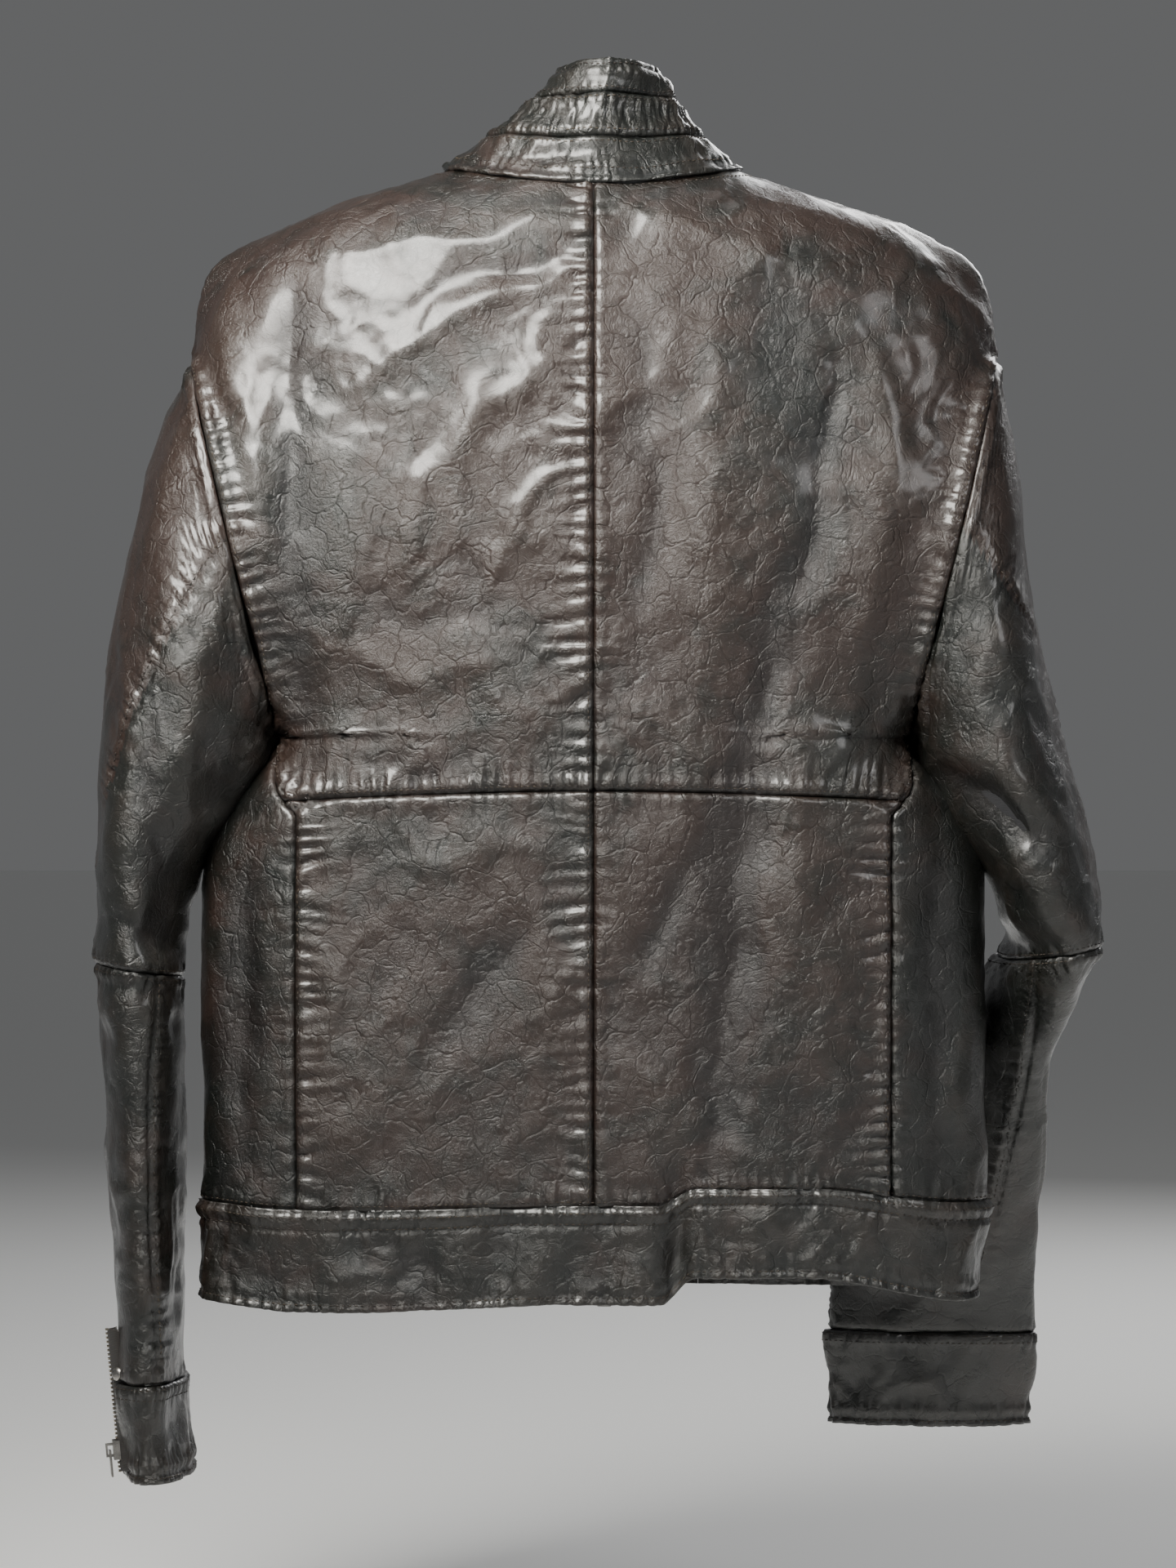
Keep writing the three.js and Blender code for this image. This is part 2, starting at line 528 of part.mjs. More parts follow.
for (const [word, sleeve] of Object.entries(SLEEVES)) {
  const point = (round, at) => sleevePoint(sleeve, round, at);
  const cuffTop = cuffTopStation(sleeve);
  const rows = (from, to, cells) => evenly(from + STATION_SLIT, to - STATION_SLIT, cells);
  const half = (from, to) => evenly(from, to, 7)
    .map((v) => THREE.MathUtils.clamp(v, from + ROUND_SLIT, to - ROUND_SLIT));
  const outer = half(-SPLIT_A, SPLIT_A);
  const under = half(SPLIT_A, SPLIT_B);
  const whole = evenly(0, 1, 14);

  const headRows = evenly(headStart(sleeve), HEAD_END - STATION_SLIT, 4);
  add(`sleeve_head_${word}`, sheet(point, whole, headRows, 0, -LEATHER, true), LEATHER_FINISH);
  add(`upper_sleeve_outer_${word}`, sheet(point, outer, rows(HEAD_END, ELBOW_START, 4), 0, -LEATHER),
    LEATHER_FINISH);
  add(`upper_sleeve_under_${word}`, sheet(point, under, rows(HEAD_END, ELBOW_START, 4), 0, -LEATHER),
    LEATHER_FINISH);
  add(`elbow_panel_${word}`, sheet(point, whole, rows(ELBOW_START, ELBOW_END, 4), 0, -LEATHER, true),
    LEATHER_FINISH);
  add(`forearm_outer_${word}`, sheet(point, outer, rows(ELBOW_END, cuffTop, 5), 0, -LEATHER),
    LEATHER_FINISH);
  add(`forearm_under_${word}`, sheet(point, under, rows(ELBOW_END, cuffTop, 5), 0, -LEATHER),
    LEATHER_FINISH);
  add(`cuff_${word}`, sheet(point, whole, rows(cuffTop, CUFF_STATION, 3), BAND_PROUD, -2 * LEATHER, true),
    LEATHER_FINISH);
  const liningOut = -2 * LEATHER - 1.6;
  add(`upper_sleeve_lining_${word}`, sheet(point, whole, rows(HEAD_END, ELBOW_START, 4),
    liningOut, liningOut - LINING, true), LINING_FINISH);
  add(`forearm_lining_${word}`, sheet(point, whole, rows(ELBOW_END, cuffTop, 5),
    liningOut, liningOut - LINING, true), LINING_FINISH);
}

// ---- Zips ---------------------------------------------------------------------------------------------

function solidOf(geometry) {
  const bare = geometry.clone();
  bare.deleteAttribute('normal');
  bare.deleteAttribute('uv');
  const merged = mergeVertices(bare, 1e-4);
  return new wasm.Manifold(new wasm.Mesh({
    numProp: 3,
    vertProperties: new Float32Array(merged.attributes.position.array),
    triVerts: new Uint32Array(merged.index.array),
  }));
}

function boxSolid(x0, x1, y0, y1, z0, z1) {
  const geometry = new THREE.BoxGeometry(x1 - x0, y1 - y0, z1 - z0);
  geometry.translate((x0 + x1) / 2, (y0 + y1) / 2, (z0 + z1) / 2);
  return solidOf(geometry);
}

function geometryFrom(solid) {
  const { vertProperties, triVerts } = solid.getMesh();
  const geometry = new THREE.BufferGeometry();
  geometry.setAttribute('position', new THREE.Float32BufferAttribute(Float32Array.from(vertProperties), 3));
  geometry.setIndex(Array.from(triVerts));
  geometry.computeVertexNormals();
  return geometry;
}

// A zip's own frame: the chain's middle at the origin, its length along Z, its face towards -Y.
const BODY_HALF = CHAIN_WIDTH / 2 + 1.6;
const BODY_FACE = -CHAIN_THICK / 2 - ZIP_CLEARANCE - 1.4;
const BAIL_REACH = 4.2;

function chainSolid(length) {
  return boxSolid(-CHAIN_WIDTH / 2, CHAIN_WIDTH / 2, -CHAIN_THICK / 2, CHAIN_THICK / 2, 0, length);
}

// The slider wraps the chain's face and sides, with an arch that the pull hangs in.
function sliderSolid(bottom) {
  const middle = bottom + SLIDER_LENGTH / 2;
  const channel = CHAIN_WIDTH / 2 + ZIP_CLEARANCE;
  const block = boxSolid(-BODY_HALF, BODY_HALF, BODY_FACE, CHAIN_THICK / 2, bottom, bottom + SLIDER_LENGTH);
  const room = boxSolid(-channel, channel, -CHAIN_THICK / 2 - ZIP_CLEARANCE, CHAIN_THICK, bottom - 1,
    bottom + SLIDER_LENGTH + 1);
  const arch = boxSolid(-0.9, 0.9, BODY_FACE - BAIL_REACH, BODY_FACE + 0.5, middle - 4, middle + 4);
  const window = boxSolid(-2, 2, BODY_FACE - 3, BODY_FACE, middle - 2.6, middle + 2.6);
  return block.subtract(room).add(arch.subtract(window));
}

const PULL_AXIS_Y = BODY_FACE - 1.8;
const pullAxisZ = (bottom) => bottom + SLIDER_LENGTH / 2 - 0.85;

function pullSolid(bottom, pullLength = PULL_LENGTH) {
  const axis = pullAxisZ(bottom);
  const plate = boxSolid(-4, 4, PULL_AXIS_Y - PULL_THICK / 2, PULL_AXIS_Y + PULL_THICK / 2,
    axis + 0.65 - pullLength, axis + 0.65);
  const slot = boxSolid(-1.6, 1.6, PULL_AXIS_Y - 2, PULL_AXIS_Y + 2, axis - 4.3, axis - 0.65);
  return plate.subtract(slot);
}

// Places a zip part: origin, the direction of its length, and the direction that it faces.
function placed(solid, origin, along, facing) {
  const z = along.clone().normalize();
  const y = facing.clone().negate();
  y.addScaledVector(z, -y.dot(z)).normalize();
  const x = y.clone().cross(z);
  const matrix = new THREE.Matrix4().makeBasis(x, y, z).setPosition(origin);
  return geometryFrom(solid).applyMatrix4(matrix);
}

const UP = new THREE.Vector3(0, 0, 1);
const FORWARD = new THREE.Vector3(0, -1, 0);

// The main zip: a chain down each front. The right one ends in the box that stops the slider, and the
// left one in the pin.
const BOX_LENGTH = 8;
const BOX_THICK = 2.6;
const PIN_THICK = 2.3;
const zipX = FRONT_GAP + CHAIN_WIDTH / 2 - 1.6;
const zipTop = NECK_LEVEL - FRONT_NECK_DROP - 2;
const zipFootZ = HEM + 2;
for (const [word, side] of [['left', 1], ['right', -1]]) {
  const foot = new THREE.Vector3(side * zipX, -FRONT_DEPTH - CHAIN_THICK / 2 - 0.6, zipFootZ);
  const endThick = side > 0 ? PIN_THICK : BOX_THICK;
  const end = boxSolid(-CHAIN_WIDTH / 2, CHAIN_WIDTH / 2, CHAIN_THICK / 2 - endThick, CHAIN_THICK / 2,
    0, BOX_LENGTH);
  const chain = chainSolid(zipTop - zipFootZ).add(end);
  add(`main_zip_chain_${word}`, placed(chain, foot, UP, FORWARD), METAL_FINISH);
  if (side < 0) {
    add('main_zip_slider', placed(sliderSolid(BOX_LENGTH + ZIP_CLEARANCE), foot, UP, FORWARD),
      METAL_FINISH);
    add('main_zip_pull', placed(pullSolid(BOX_LENGTH + ZIP_CLEARANCE), foot, UP, FORWARD), METAL_FINISH);
  }
}

// Where the line between two surface points runs, and which way the surface faces there.
function zipLine(low, high, beside, lift) {
  const along = high.clone().sub(low).normalize();
  const facing = beside.clone().sub(low).cross(along).normalize();
  if (facing.dot(new THREE.Vector3(low.x, low.y, 0)) < 0) facing.negate();
  return { origin: low.clone().addScaledVector(facing, lift), along, facing };
}

// Closed zips: the slider rests near the foot and runs up to open.
function closedZip(name, line, length, sliderFoot, pullLength) {
  const set = (solid) => placed(solid, line.origin, line.along, line.facing);
  add(`${name}_chain`, set(chainSolid(length)), METAL_FINISH);
  add(`${name}_slider`, set(sliderSolid(sliderFoot)), METAL_FINISH);
  add(`${name}_pull`, set(pullSolid(sliderFoot, pullLength)), METAL_FINISH);
}

const POCKET_SEAT = 0.447;       // from the highest point of the leather under a pocket zip
const POCKET_REACH = 38;
const pocketTop = NECK_LEVEL - POCKET_ZIP_TOP;
for (const [word, side] of [['left', 1], ['right', -1]]) {
  const at = (x, z) => bodyPoint(side * frontRound(z, x), z);
  const foot = pocketTop - POCKET_ZIP_LENGTH;
  const flat = zipLine(at(POCKET_ZIP_X, foot), at(POCKET_ZIP_X, pocketTop), at(POCKET_ZIP_X + 3, foot), 0);
  const bulge = Math.max(...evenly(foot, pocketTop, 24)
    .map((z) => at(POCKET_ZIP_X, z).sub(flat.origin).dot(flat.facing)));
  const lift = CHAIN_THICK / 2 + bulge + POCKET_SEAT;
  const line = { ...flat, origin: flat.origin.clone().addScaledVector(flat.facing, lift) };
  closedZip(`pocket_zip_${word}`, line, POCKET_ZIP_LENGTH, ZIP_CLEARANCE, PULL_LENGTH);
  const rounds = (shift) => (v) => side * frontRound(v, POCKET_ZIP_X + side * shift);
  add(`pocket_bag_${word}`, bodyPiece(pocketTop + 5, BAND_SEAM + 8, rounds(POCKET_REACH),
    rounds(-POCKET_REACH), 4, 0, -POCKET_BAG, LINING_INSET + LINING + 1.2), LINING_FINISH);
}

const CUFF_ZIP_ROUND = 0.08;     // behind the outer edge
const CUFF_LIFT = CHAIN_THICK / 2 + BAND_PROUD + 3.4;
for (const [word, sleeve] of Object.entries(SLEEVES)) {
  const round = -sleeve.side * CUFF_ZIP_ROUND;
  const stationAt = (z) => {
    let at = CUFF_STATION;
    while (stationValue(sleeve, 'z', at) < z && at > 0) at -= 0.02;
    return at;
  };
  const edge = sleeve.stations[CUFF_STATION].z;
  const low = sleevePoint(sleeve, round, stationAt(edge + 3));
  const high = sleevePoint(sleeve, round, stationAt(edge + CUFF_ZIP_LENGTH));
  const beside = sleevePoint(sleeve, round + 0.01, stationAt(edge + 3));
  const line = zipLine(low, high, beside, CUFF_LIFT);
  closedZip(`cuff_zip_${word}`, line, CUFF_ZIP_LENGTH - 6, CUFF_SLIDER_FOOT, CUFF_PULL_LENGTH);
}

// ---- Hanging loop -------------------------------------------------------------------------------------

// A strap inside the back neck, which droops between its two ends.
const loopY = NECK_BACK_DEPTH - LINING_INSET - 6;
const loopPoint = (across, down) => new THREE.Vector3(
  HANG_LOOP_HALF * across,
  loopY - 3 * (1 - across ** 2),
  NECK_LEVEL - BACK_NECK_DROP - 6 - 9 * (1 - across ** 2) - down,
);
add('hang_loop', sheet(loopPoint, evenly(-1, 1, 8), [0, HANG_LOOP_WIDTH], 0.8, -0.8), LEATHER_FINISH);

export default jacket;
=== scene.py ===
# %% [markdown]
# # A washed leather riding jacket on a hanger
# The jacket is a shell of thin leather panels. Each panel lies on one smooth body or sleeve surface, and what
# makes it look like leather is its relief: the groove of every seam, the puckers that stitching pulls into
# washed skin, the large folds of an empty jacket that hangs by its shoulders, and a fine crumple all over.
# A cloth simulation would settle the folds its own way, so the relief is laid on in numpy instead:
# that puts every fold where this jacket has it, and it gives the same result each time.
#
# The imported frame comes first. Everything below is in its coordinates: +Z up, +X to the wearer's left,
# +Y to the wearer's back.

# %% Load the frame
import json
import math
import bpy
import numpy as np
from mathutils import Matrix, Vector
from mathutils.bvhtree import BVHTree

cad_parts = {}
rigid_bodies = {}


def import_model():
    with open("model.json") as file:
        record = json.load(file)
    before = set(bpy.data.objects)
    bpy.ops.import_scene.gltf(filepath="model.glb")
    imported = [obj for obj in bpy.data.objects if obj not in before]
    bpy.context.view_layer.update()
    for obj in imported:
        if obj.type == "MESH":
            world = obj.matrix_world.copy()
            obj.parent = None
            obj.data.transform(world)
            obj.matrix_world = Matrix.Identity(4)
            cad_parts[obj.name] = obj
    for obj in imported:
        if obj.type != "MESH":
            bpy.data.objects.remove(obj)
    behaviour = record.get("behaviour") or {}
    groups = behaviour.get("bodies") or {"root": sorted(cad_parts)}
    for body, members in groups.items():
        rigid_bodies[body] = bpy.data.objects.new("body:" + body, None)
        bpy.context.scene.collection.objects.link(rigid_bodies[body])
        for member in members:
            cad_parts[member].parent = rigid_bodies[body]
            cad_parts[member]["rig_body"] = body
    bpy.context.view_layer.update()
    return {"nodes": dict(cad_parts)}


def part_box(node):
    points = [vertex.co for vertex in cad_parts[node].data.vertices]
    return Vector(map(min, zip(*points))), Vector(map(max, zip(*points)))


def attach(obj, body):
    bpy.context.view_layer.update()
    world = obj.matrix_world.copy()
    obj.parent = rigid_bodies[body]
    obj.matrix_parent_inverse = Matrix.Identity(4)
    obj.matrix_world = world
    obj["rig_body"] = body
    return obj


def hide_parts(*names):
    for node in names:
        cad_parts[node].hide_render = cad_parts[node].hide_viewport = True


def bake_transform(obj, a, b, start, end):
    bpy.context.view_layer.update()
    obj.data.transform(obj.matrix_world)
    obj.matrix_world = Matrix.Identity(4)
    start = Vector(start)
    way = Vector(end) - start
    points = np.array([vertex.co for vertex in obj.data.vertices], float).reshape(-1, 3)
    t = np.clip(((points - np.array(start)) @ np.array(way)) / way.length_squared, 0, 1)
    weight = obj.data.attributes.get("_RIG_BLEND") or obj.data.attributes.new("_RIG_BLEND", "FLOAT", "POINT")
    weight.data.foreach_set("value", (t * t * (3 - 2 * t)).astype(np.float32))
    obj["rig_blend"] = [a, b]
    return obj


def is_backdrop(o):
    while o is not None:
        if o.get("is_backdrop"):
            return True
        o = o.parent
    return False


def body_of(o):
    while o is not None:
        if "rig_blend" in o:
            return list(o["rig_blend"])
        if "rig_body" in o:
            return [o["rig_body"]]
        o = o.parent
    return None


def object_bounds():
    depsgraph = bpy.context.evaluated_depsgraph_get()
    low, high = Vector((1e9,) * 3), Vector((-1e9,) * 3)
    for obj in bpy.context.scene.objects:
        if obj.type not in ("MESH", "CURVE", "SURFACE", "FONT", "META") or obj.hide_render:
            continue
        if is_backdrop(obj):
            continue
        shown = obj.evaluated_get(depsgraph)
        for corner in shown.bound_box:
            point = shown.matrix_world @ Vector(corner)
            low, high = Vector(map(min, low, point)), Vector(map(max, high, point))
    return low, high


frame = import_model()

# %% [markdown]
# ## The body surface
# The panels need the same surface that the frame's own solids lie on, so its cutting sizes come first, in
# millimetres. Each level is a ring, and each ring is four quarters of a squared-off oval. A point is named
# by how far round it is (0 centre back, 1 side, 2 centre front, with a minus on the right) and by its level.

# %% Cutting sizes
NECK_LEVEL, NECK_HALF, NECK_BACK, BACK_NECK_DROP, FRONT_NECK_DROP = 5, 81, 58, 12, 67
FRONT_DEPTH, SIDE_SHIFT = 72, 5
SHOULDER_HALF, UNDERARM_HALF, HEM_HALF = 233, 181, 226
CHEST_BACK, HEM_BACK = 87, 66
ARMHOLE_TOP, ARMHOLE_DEPTH, ARMHOLE_HALF = -106, 217, 66
BODY_LENGTH, HEM_BAND, MID_SEAM, SIDE_SEAM_X, FOLD_X = 652, 55, -355, 170, 62
SLEEVE_LENGTH, CUFF_HEIGHT, FRONT_EDGE = 645, 56, 11.8
LEATHER, LINING, LINING_INSET = 1.2, 0.8, 5.2
HEM = NECK_LEVEL - BODY_LENGTH
BAND_SEAM = HEM + HEM_BAND
ARMHOLE_BOTTOM = ARMHOLE_TOP - ARMHOLE_DEPTH
ARMHOLE_MIDDLE = (ARMHOLE_TOP + ARMHOLE_BOTTOM) / 2
TOP_DEPTH, LOW_DEPTH = NECK_LEVEL - ARMHOLE_TOP, NECK_LEVEL - ARMHOLE_BOTTOM
LOWER_BODY = ARMHOLE_BOTTOM - HEM
SIDES = (("left", 1), ("right", -1))
print("hem at", HEM, "band seam at", BAND_SEAM, "armhole bottom at", ARMHOLE_BOTTOM)


# %% A smooth curve through key values
def lerp(a, b, t):
    return a + (b - a) * t


def ease(value, low, high):
    t = np.clip((np.asarray(value, float) - low) / (high - low), 0, 1)
    return t * t * (3 - 2 * t)


def through(keys, at):
    keys = np.asarray(keys, float)
    x, y = keys[:, 0], keys[:, 1]
    slope = np.empty(len(x))
    slope[1:-1] = (y[2:] - y[:-2]) / (x[2:] - x[:-2])
    slope[0], slope[-1] = (y[1] - y[0]) / (x[1] - x[0]), (y[-1] - y[-2]) / (x[-1] - x[-2])
    at = np.clip(np.asarray(at, float), x[0], x[-1])
    i = np.clip(np.searchsorted(x, at, side="left") - 1, 0, len(x) - 2)
    span = x[i + 1] - x[i]
    t = (at - x[i]) / span
    t2, t3 = t * t, t * t * t
    return ((2 * t3 - 3 * t2 + 1) * y[i] + (t3 - 2 * t2 + t) * span * slope[i]
            + (3 * t2 - 2 * t3) * y[i + 1] + (t3 - t2) * span * slope[i + 1])


# %% How wide and how deep the body is at each level
RISE = SHOULDER_HALF - NECK_HALF
WIDTH_KEYS = [[0, NECK_HALF], [0.15 * TOP_DEPTH, NECK_HALF + 0.31 * RISE],
              [0.3 * TOP_DEPTH, NECK_HALF + 0.62 * RISE], [0.46 * TOP_DEPTH, NECK_HALF + 0.875 * RISE],
              [0.69 * TOP_DEPTH, NECK_HALF + 0.975 * RISE], [TOP_DEPTH, SHOULDER_HALF]]
FLARE_KEYS = [[0, 0], [0.06, 0.01], [0.12, 0.13], [0.19, 0.36], [0.27, 0.62], [0.36, 0.84], [0.48, 0.99],
              [0.73, 1.05], [0.85, 1.03], [1, 1]]
BACK_KEYS = [[0, NECK_BACK], [0.3 * TOP_DEPTH, lerp(NECK_BACK, CHEST_BACK, 0.5)],
             [TOP_DEPTH, lerp(NECK_BACK, CHEST_BACK, 0.93)], [0.35 * BODY_LENGTH, CHEST_BACK],
             [0.6 * BODY_LENGTH, lerp(CHEST_BACK, HEM_BACK, 0.45)], [BODY_LENGTH, HEM_BACK]]
FRONT_DROP_KEYS = [[0, 1], [0.4 * TOP_DEPTH, 0.72], [TOP_DEPTH, 0.4], [TOP_DEPTH + 0.5 * ARMHOLE_DEPTH, 0]]
BACK_DROP_KEYS = [[0, 1], [0.3 * TOP_DEPTH, 0.4], [0.7 * TOP_DEPTH, 0]]
SQUARE_KEYS = [[0, 1], [TOP_DEPTH, 0.82], [LOW_DEPTH, 0.76], [BODY_LENGTH, 0.72]]
ARMHOLE_POWER = 1.6
HANG_SHARE, HANG_START = 0.95, 58


def half_width(level):
    depth = NECK_LEVEL - np.asarray(level, float)
    upper = through(WIDTH_KEYS, depth)
    middle = lerp(SHOULDER_HALF, UNDERARM_HALF, (depth - TOP_DEPTH) / ARMHOLE_DEPTH)
    flare = through(FLARE_KEYS, (ARMHOLE_BOTTOM - level) / LOWER_BODY)
    lower = UNDERARM_HALF + (HEM_HALF - UNDERARM_HALF) * flare
    return np.where(depth <= TOP_DEPTH, upper, np.where(depth <= LOW_DEPTH, middle, lower))


def side_width(level):
    """The leather's own half width: below the arm it hangs straighter than the frame's, and fills the gap."""
    own = half_width(level)
    hang = HANG_SHARE * ease(ARMHOLE_BOTTOM - np.asarray(level, float), 0, HANG_START)
    return own + hang * (HEM_HALF - own)


def armhole_spread(level):
    rise = (np.asarray(level, float) - ARMHOLE_MIDDLE) / (ARMHOLE_DEPTH / 2)
    return ARMHOLE_HALF * np.sqrt(np.clip(1 - rise * rise, 0, 1))


# %% A quarter of each ring
QUARTER_STEPS = 60


def quarters(level, is_back):
    level = np.asarray(level, float)
    depth = NECK_LEVEL - level
    spread = armhole_spread(level)
    edge = SIDE_SHIFT + np.where(is_back, spread, -spread)
    centre = np.where(is_back, through(BACK_KEYS, depth), -FRONT_DEPTH)
    power = lerp(through(SQUARE_KEYS, depth), ARMHOLE_POWER, spread / ARMHOLE_HALF)[:, None]
    angle = (math.pi / 2) * np.arange(QUARTER_STEPS + 1)[None, :] / QUARTER_STEPS
    x = side_width(level)[:, None] * np.sin(angle) ** power
    y = edge[:, None] + (centre - edge)[:, None] * np.clip(np.cos(angle), 0, 1) ** power
    length = np.zeros_like(x)
    length[:, 1:] = np.cumsum(np.hypot(np.diff(x, axis=1), np.diff(y, axis=1)), axis=1)
    return x, y, length


def share_at_x(level, is_back, x_wanted):
    level = np.atleast_1d(np.asarray(level, float))
    x, _, length = quarters(level, np.full(len(level), is_back))
    wanted = np.broadcast_to(x_wanted, level.shape)
    return np.array([np.interp(w, a, b) / b[-1] for w, a, b in zip(wanted, x, length)])


def body_points(around, level, inset=0.0):
    around, level = np.broadcast_arrays(np.asarray(around, float), np.asarray(level, float))
    shape, around, level = around.shape, around.ravel(), level.ravel()
    is_back = np.abs(around) <= 1
    share = np.clip(np.where(is_back, np.abs(around), 2 - np.abs(around)), 0, 1)
    x, y, length = quarters(level, is_back)
    target = share * length[:, -1]
    i = np.clip((length < target[:, None]).sum(axis=1) - 1, 0, QUARTER_STEPS - 1)
    row = np.arange(len(i))
    t = (target - length[row, i]) / (length[row, i + 1] - length[row, i])
    px, py = lerp(x[row, i], x[row, i + 1], t), lerp(y[row, i], y[row, i + 1], t)
    depth, width = NECK_LEVEL - level, side_width(level)
    drop = np.where(is_back, BACK_NECK_DROP * through(BACK_DROP_KEYS, depth),
                    FRONT_NECK_DROP * through(FRONT_DROP_KEYS, depth))
    z = level - drop * (1 - (px / width) ** 2) - inset * np.clip(1 - depth / TOP_DEPTH, 0, 1)
    side = np.where(around < 0, -1.0, 1.0)
    points = np.stack([side * (px - inset * px / width),
                       py - inset * np.clip((py - SIDE_SHIFT) / 15, -1, 1), z], axis=1)
    return points.reshape(shape + (3,))


print("centre back of the hem:", body_points(0.0, float(HEM)).round(1))


# %% Seam lines on the body, as how far round they are at each level
SIDE_FRONT = 1.3


def side_back(level):
    level = np.atleast_1d(np.asarray(level, float))
    sink = np.clip((ARMHOLE_BOTTOM - level) / (0.14 * LOWER_BODY), 0, 1)
    x = np.minimum(lerp(side_width(level), SIDE_SEAM_X, sink), side_width(level) * 0.985)
    return np.where(level > ARMHOLE_BOTTOM, 1.0, share_at_x(level, True, x))


def fold_round(level):
    level = np.atleast_1d(np.asarray(level, float))
    x = FOLD_X * through([[0, 0.94], [0.5 * TOP_DEPTH, 1]], NECK_LEVEL - level)
    return 2 - share_at_x(level, False, x)


def edge_round(level):
    return 2 - share_at_x(np.atleast_1d(level), False, FRONT_EDGE)


def side_front(level):
    level = np.atleast_1d(np.asarray(level, float))
    return np.where(level > ARMHOLE_BOTTOM, 1.0, SIDE_FRONT)


print("side seam at the hem is", side_back([HEM]).round(3), "of the way round")

# %% [markdown]
# ## The sleeve surface
# A sleeve is a tube through a list of cross-sections. The left one hangs straight, and the right one comes
# forward below the elbow. Its first section is the slanted armhole, so the tube meets the body there.

# %% Sleeve cross-sections
# how far down, clearance from the body (or x), thin half width, outer edge above the middle, deep half width,
# front to back, turn about the upright
HANGING = [(0.230, 7, 33, 91, 70, 5, 0), (0.285, 12, 34, 73, 73, 5, 0), (0.350, 19, 32, 51, 74, 4, 0),
           (0.413, 22, 28.5, 32, 73, 3, 0), (0.479, 19, 26.5, 15, 70, 2, 0), (0.545, 15, 24.5, 4, 67, 0, 0),
           (0.637, 10, 23.5, 2, 64, -2, 0), (0.752, 9, 22, 1, 61, -4, 0), (0.847, 12, 19.5, 0, 59, -6, 0),
           (0.924, 13, 18, 0, 58, -7, 0), (1.000, 9, 17, 0, 58, -8, 0)]
BENT = [(0.230, 7, 28, 91, 70, 5, 0), (0.285, 12, 25, 73, 73, 4, 0), (0.350, 18, 23, 51, 74, 2, 0),
        (0.413, 22, 24, 30, 73, -1, 0), (0.476, 21, 26.5, 14, 70, -6, 0), (0.530, 19, 25, 5, 67, -17, 10)]
BENT_LOW = [(0.630, HEM_HALF - 3, 20, 0, 65, -62, 38), (0.742, HEM_HALF - 18, 19, 0, 63, -94, 62),
            (0.852, HEM_HALF - 23, 18, 0, 62, -112, 78), (0.915, HEM_HALF - 24, 18, 0, 61, -119, 84),
            (0.975, HEM_HALF - 24, 17, 0, 61, -124, 86)]


def stations(near, far=()):
    rows = [((SHOULDER_HALF + UNDERARM_HALF) / 2, (SHOULDER_HALF - UNDERARM_HALF) / 2, ARMHOLE_DEPTH / 2,
             ARMHOLE_HALF, SIDE_SHIFT, 0, ARMHOLE_MIDDLE)]
    for down, clear, thin, lift, deep, y, turn in near:
        z = ARMHOLE_TOP - down * SLEEVE_LENGTH
        rows.append((float(half_width(max(z - lift, HEM))) + clear + thin, thin, lift, deep, y, turn, z))
    for down, x, thin, lift, deep, y, turn in far:
        rows.append((x, thin, lift, deep, y, turn, ARMHOLE_TOP - down * SLEEVE_LENGTH))
    return np.array(rows)


SLEEVES = {"left": (1, stations(HANGING)), "right": (-1, stations(BENT, BENT_LOW))}
CUFF_EDGE = 11


def station_value(rows, column, at):
    return through(np.stack([np.arange(len(rows)), rows[:, column]], axis=1), at)


def sleeve_points(word, around, at):
    side, rows = SLEEVES[word]
    around, at = np.broadcast_arrays(np.asarray(around, float), np.asarray(at, float))
    x, thin, lift, deep, y, turn, z = (station_value(rows, c, at) for c in range(7))
    angle = -side * 2 * math.pi * around
    turn = np.radians(turn)
    thin, deep = thin * np.cos(angle), deep * np.sin(angle)
    out = thin * np.cos(turn) + deep * np.sin(turn)
    back = deep * np.cos(turn) - thin * np.sin(turn)
    return np.stack([side * (x + out), y + back, z + lift * np.cos(angle)], axis=-1)


def station_at(word, z_wanted):
    rows = SLEEVES[word][1]
    at = np.linspace(0, CUFF_EDGE, 2000)
    z = station_value(rows, 6, at)
    return float(np.interp(-z_wanted, -z, at))


CUFF_TOP = {word: station_at(word, SLEEVES[word][1][CUFF_EDGE, 6] + CUFF_HEIGHT) for word in SLEEVES}
print("cuffs start at sections", {k: round(v, 2) for k, v in CUFF_TOP.items()})

# %% [markdown]
# ## The collar surface
# The stand collar rises from the neck ring. With no neck in it, it leans in, most of all at the sides.


# %% Collar points
def collar_points(around, above):
    around, above = np.broadcast_arrays(np.asarray(around, float), np.asarray(above, float))
    base = body_points(around, np.full(around.shape, float(NECK_LEVEL)))
    lean = np.radians(through([[0, 8], [0.5, 28], [1, 52], [1.4, 38], [2, 12]], np.abs(around)))
    inward = np.stack([-base[..., 0], -5 - base[..., 1]], axis=-1)
    inward /= np.linalg.norm(inward, axis=-1, keepdims=True)
    rise = np.stack([inward[..., 0] * np.sin(lean), inward[..., 1] * np.sin(lean), np.cos(lean)], axis=-1)
    points = base + [0, 0, 3] + rise * above[..., None]
    points[..., 0] -= 9 * ease(above, 18, 66)
    points[..., :2] -= inward[..., :2] * (2.4 * ease(-above, -6, 4))[..., None]
    return points


print("top of the collar at the centre back:", collar_points(0.0, 69.0).round(1))

# %% [markdown]
# ## Relief
# Leather folds have no single scale, so the relief is a sum: large folds drawn as strokes on the back,
# drapes and creases from warped noise, and the seams with their grooves, welts and puckers. Noise with a
# fixed table of directions gives the same creases on every run.

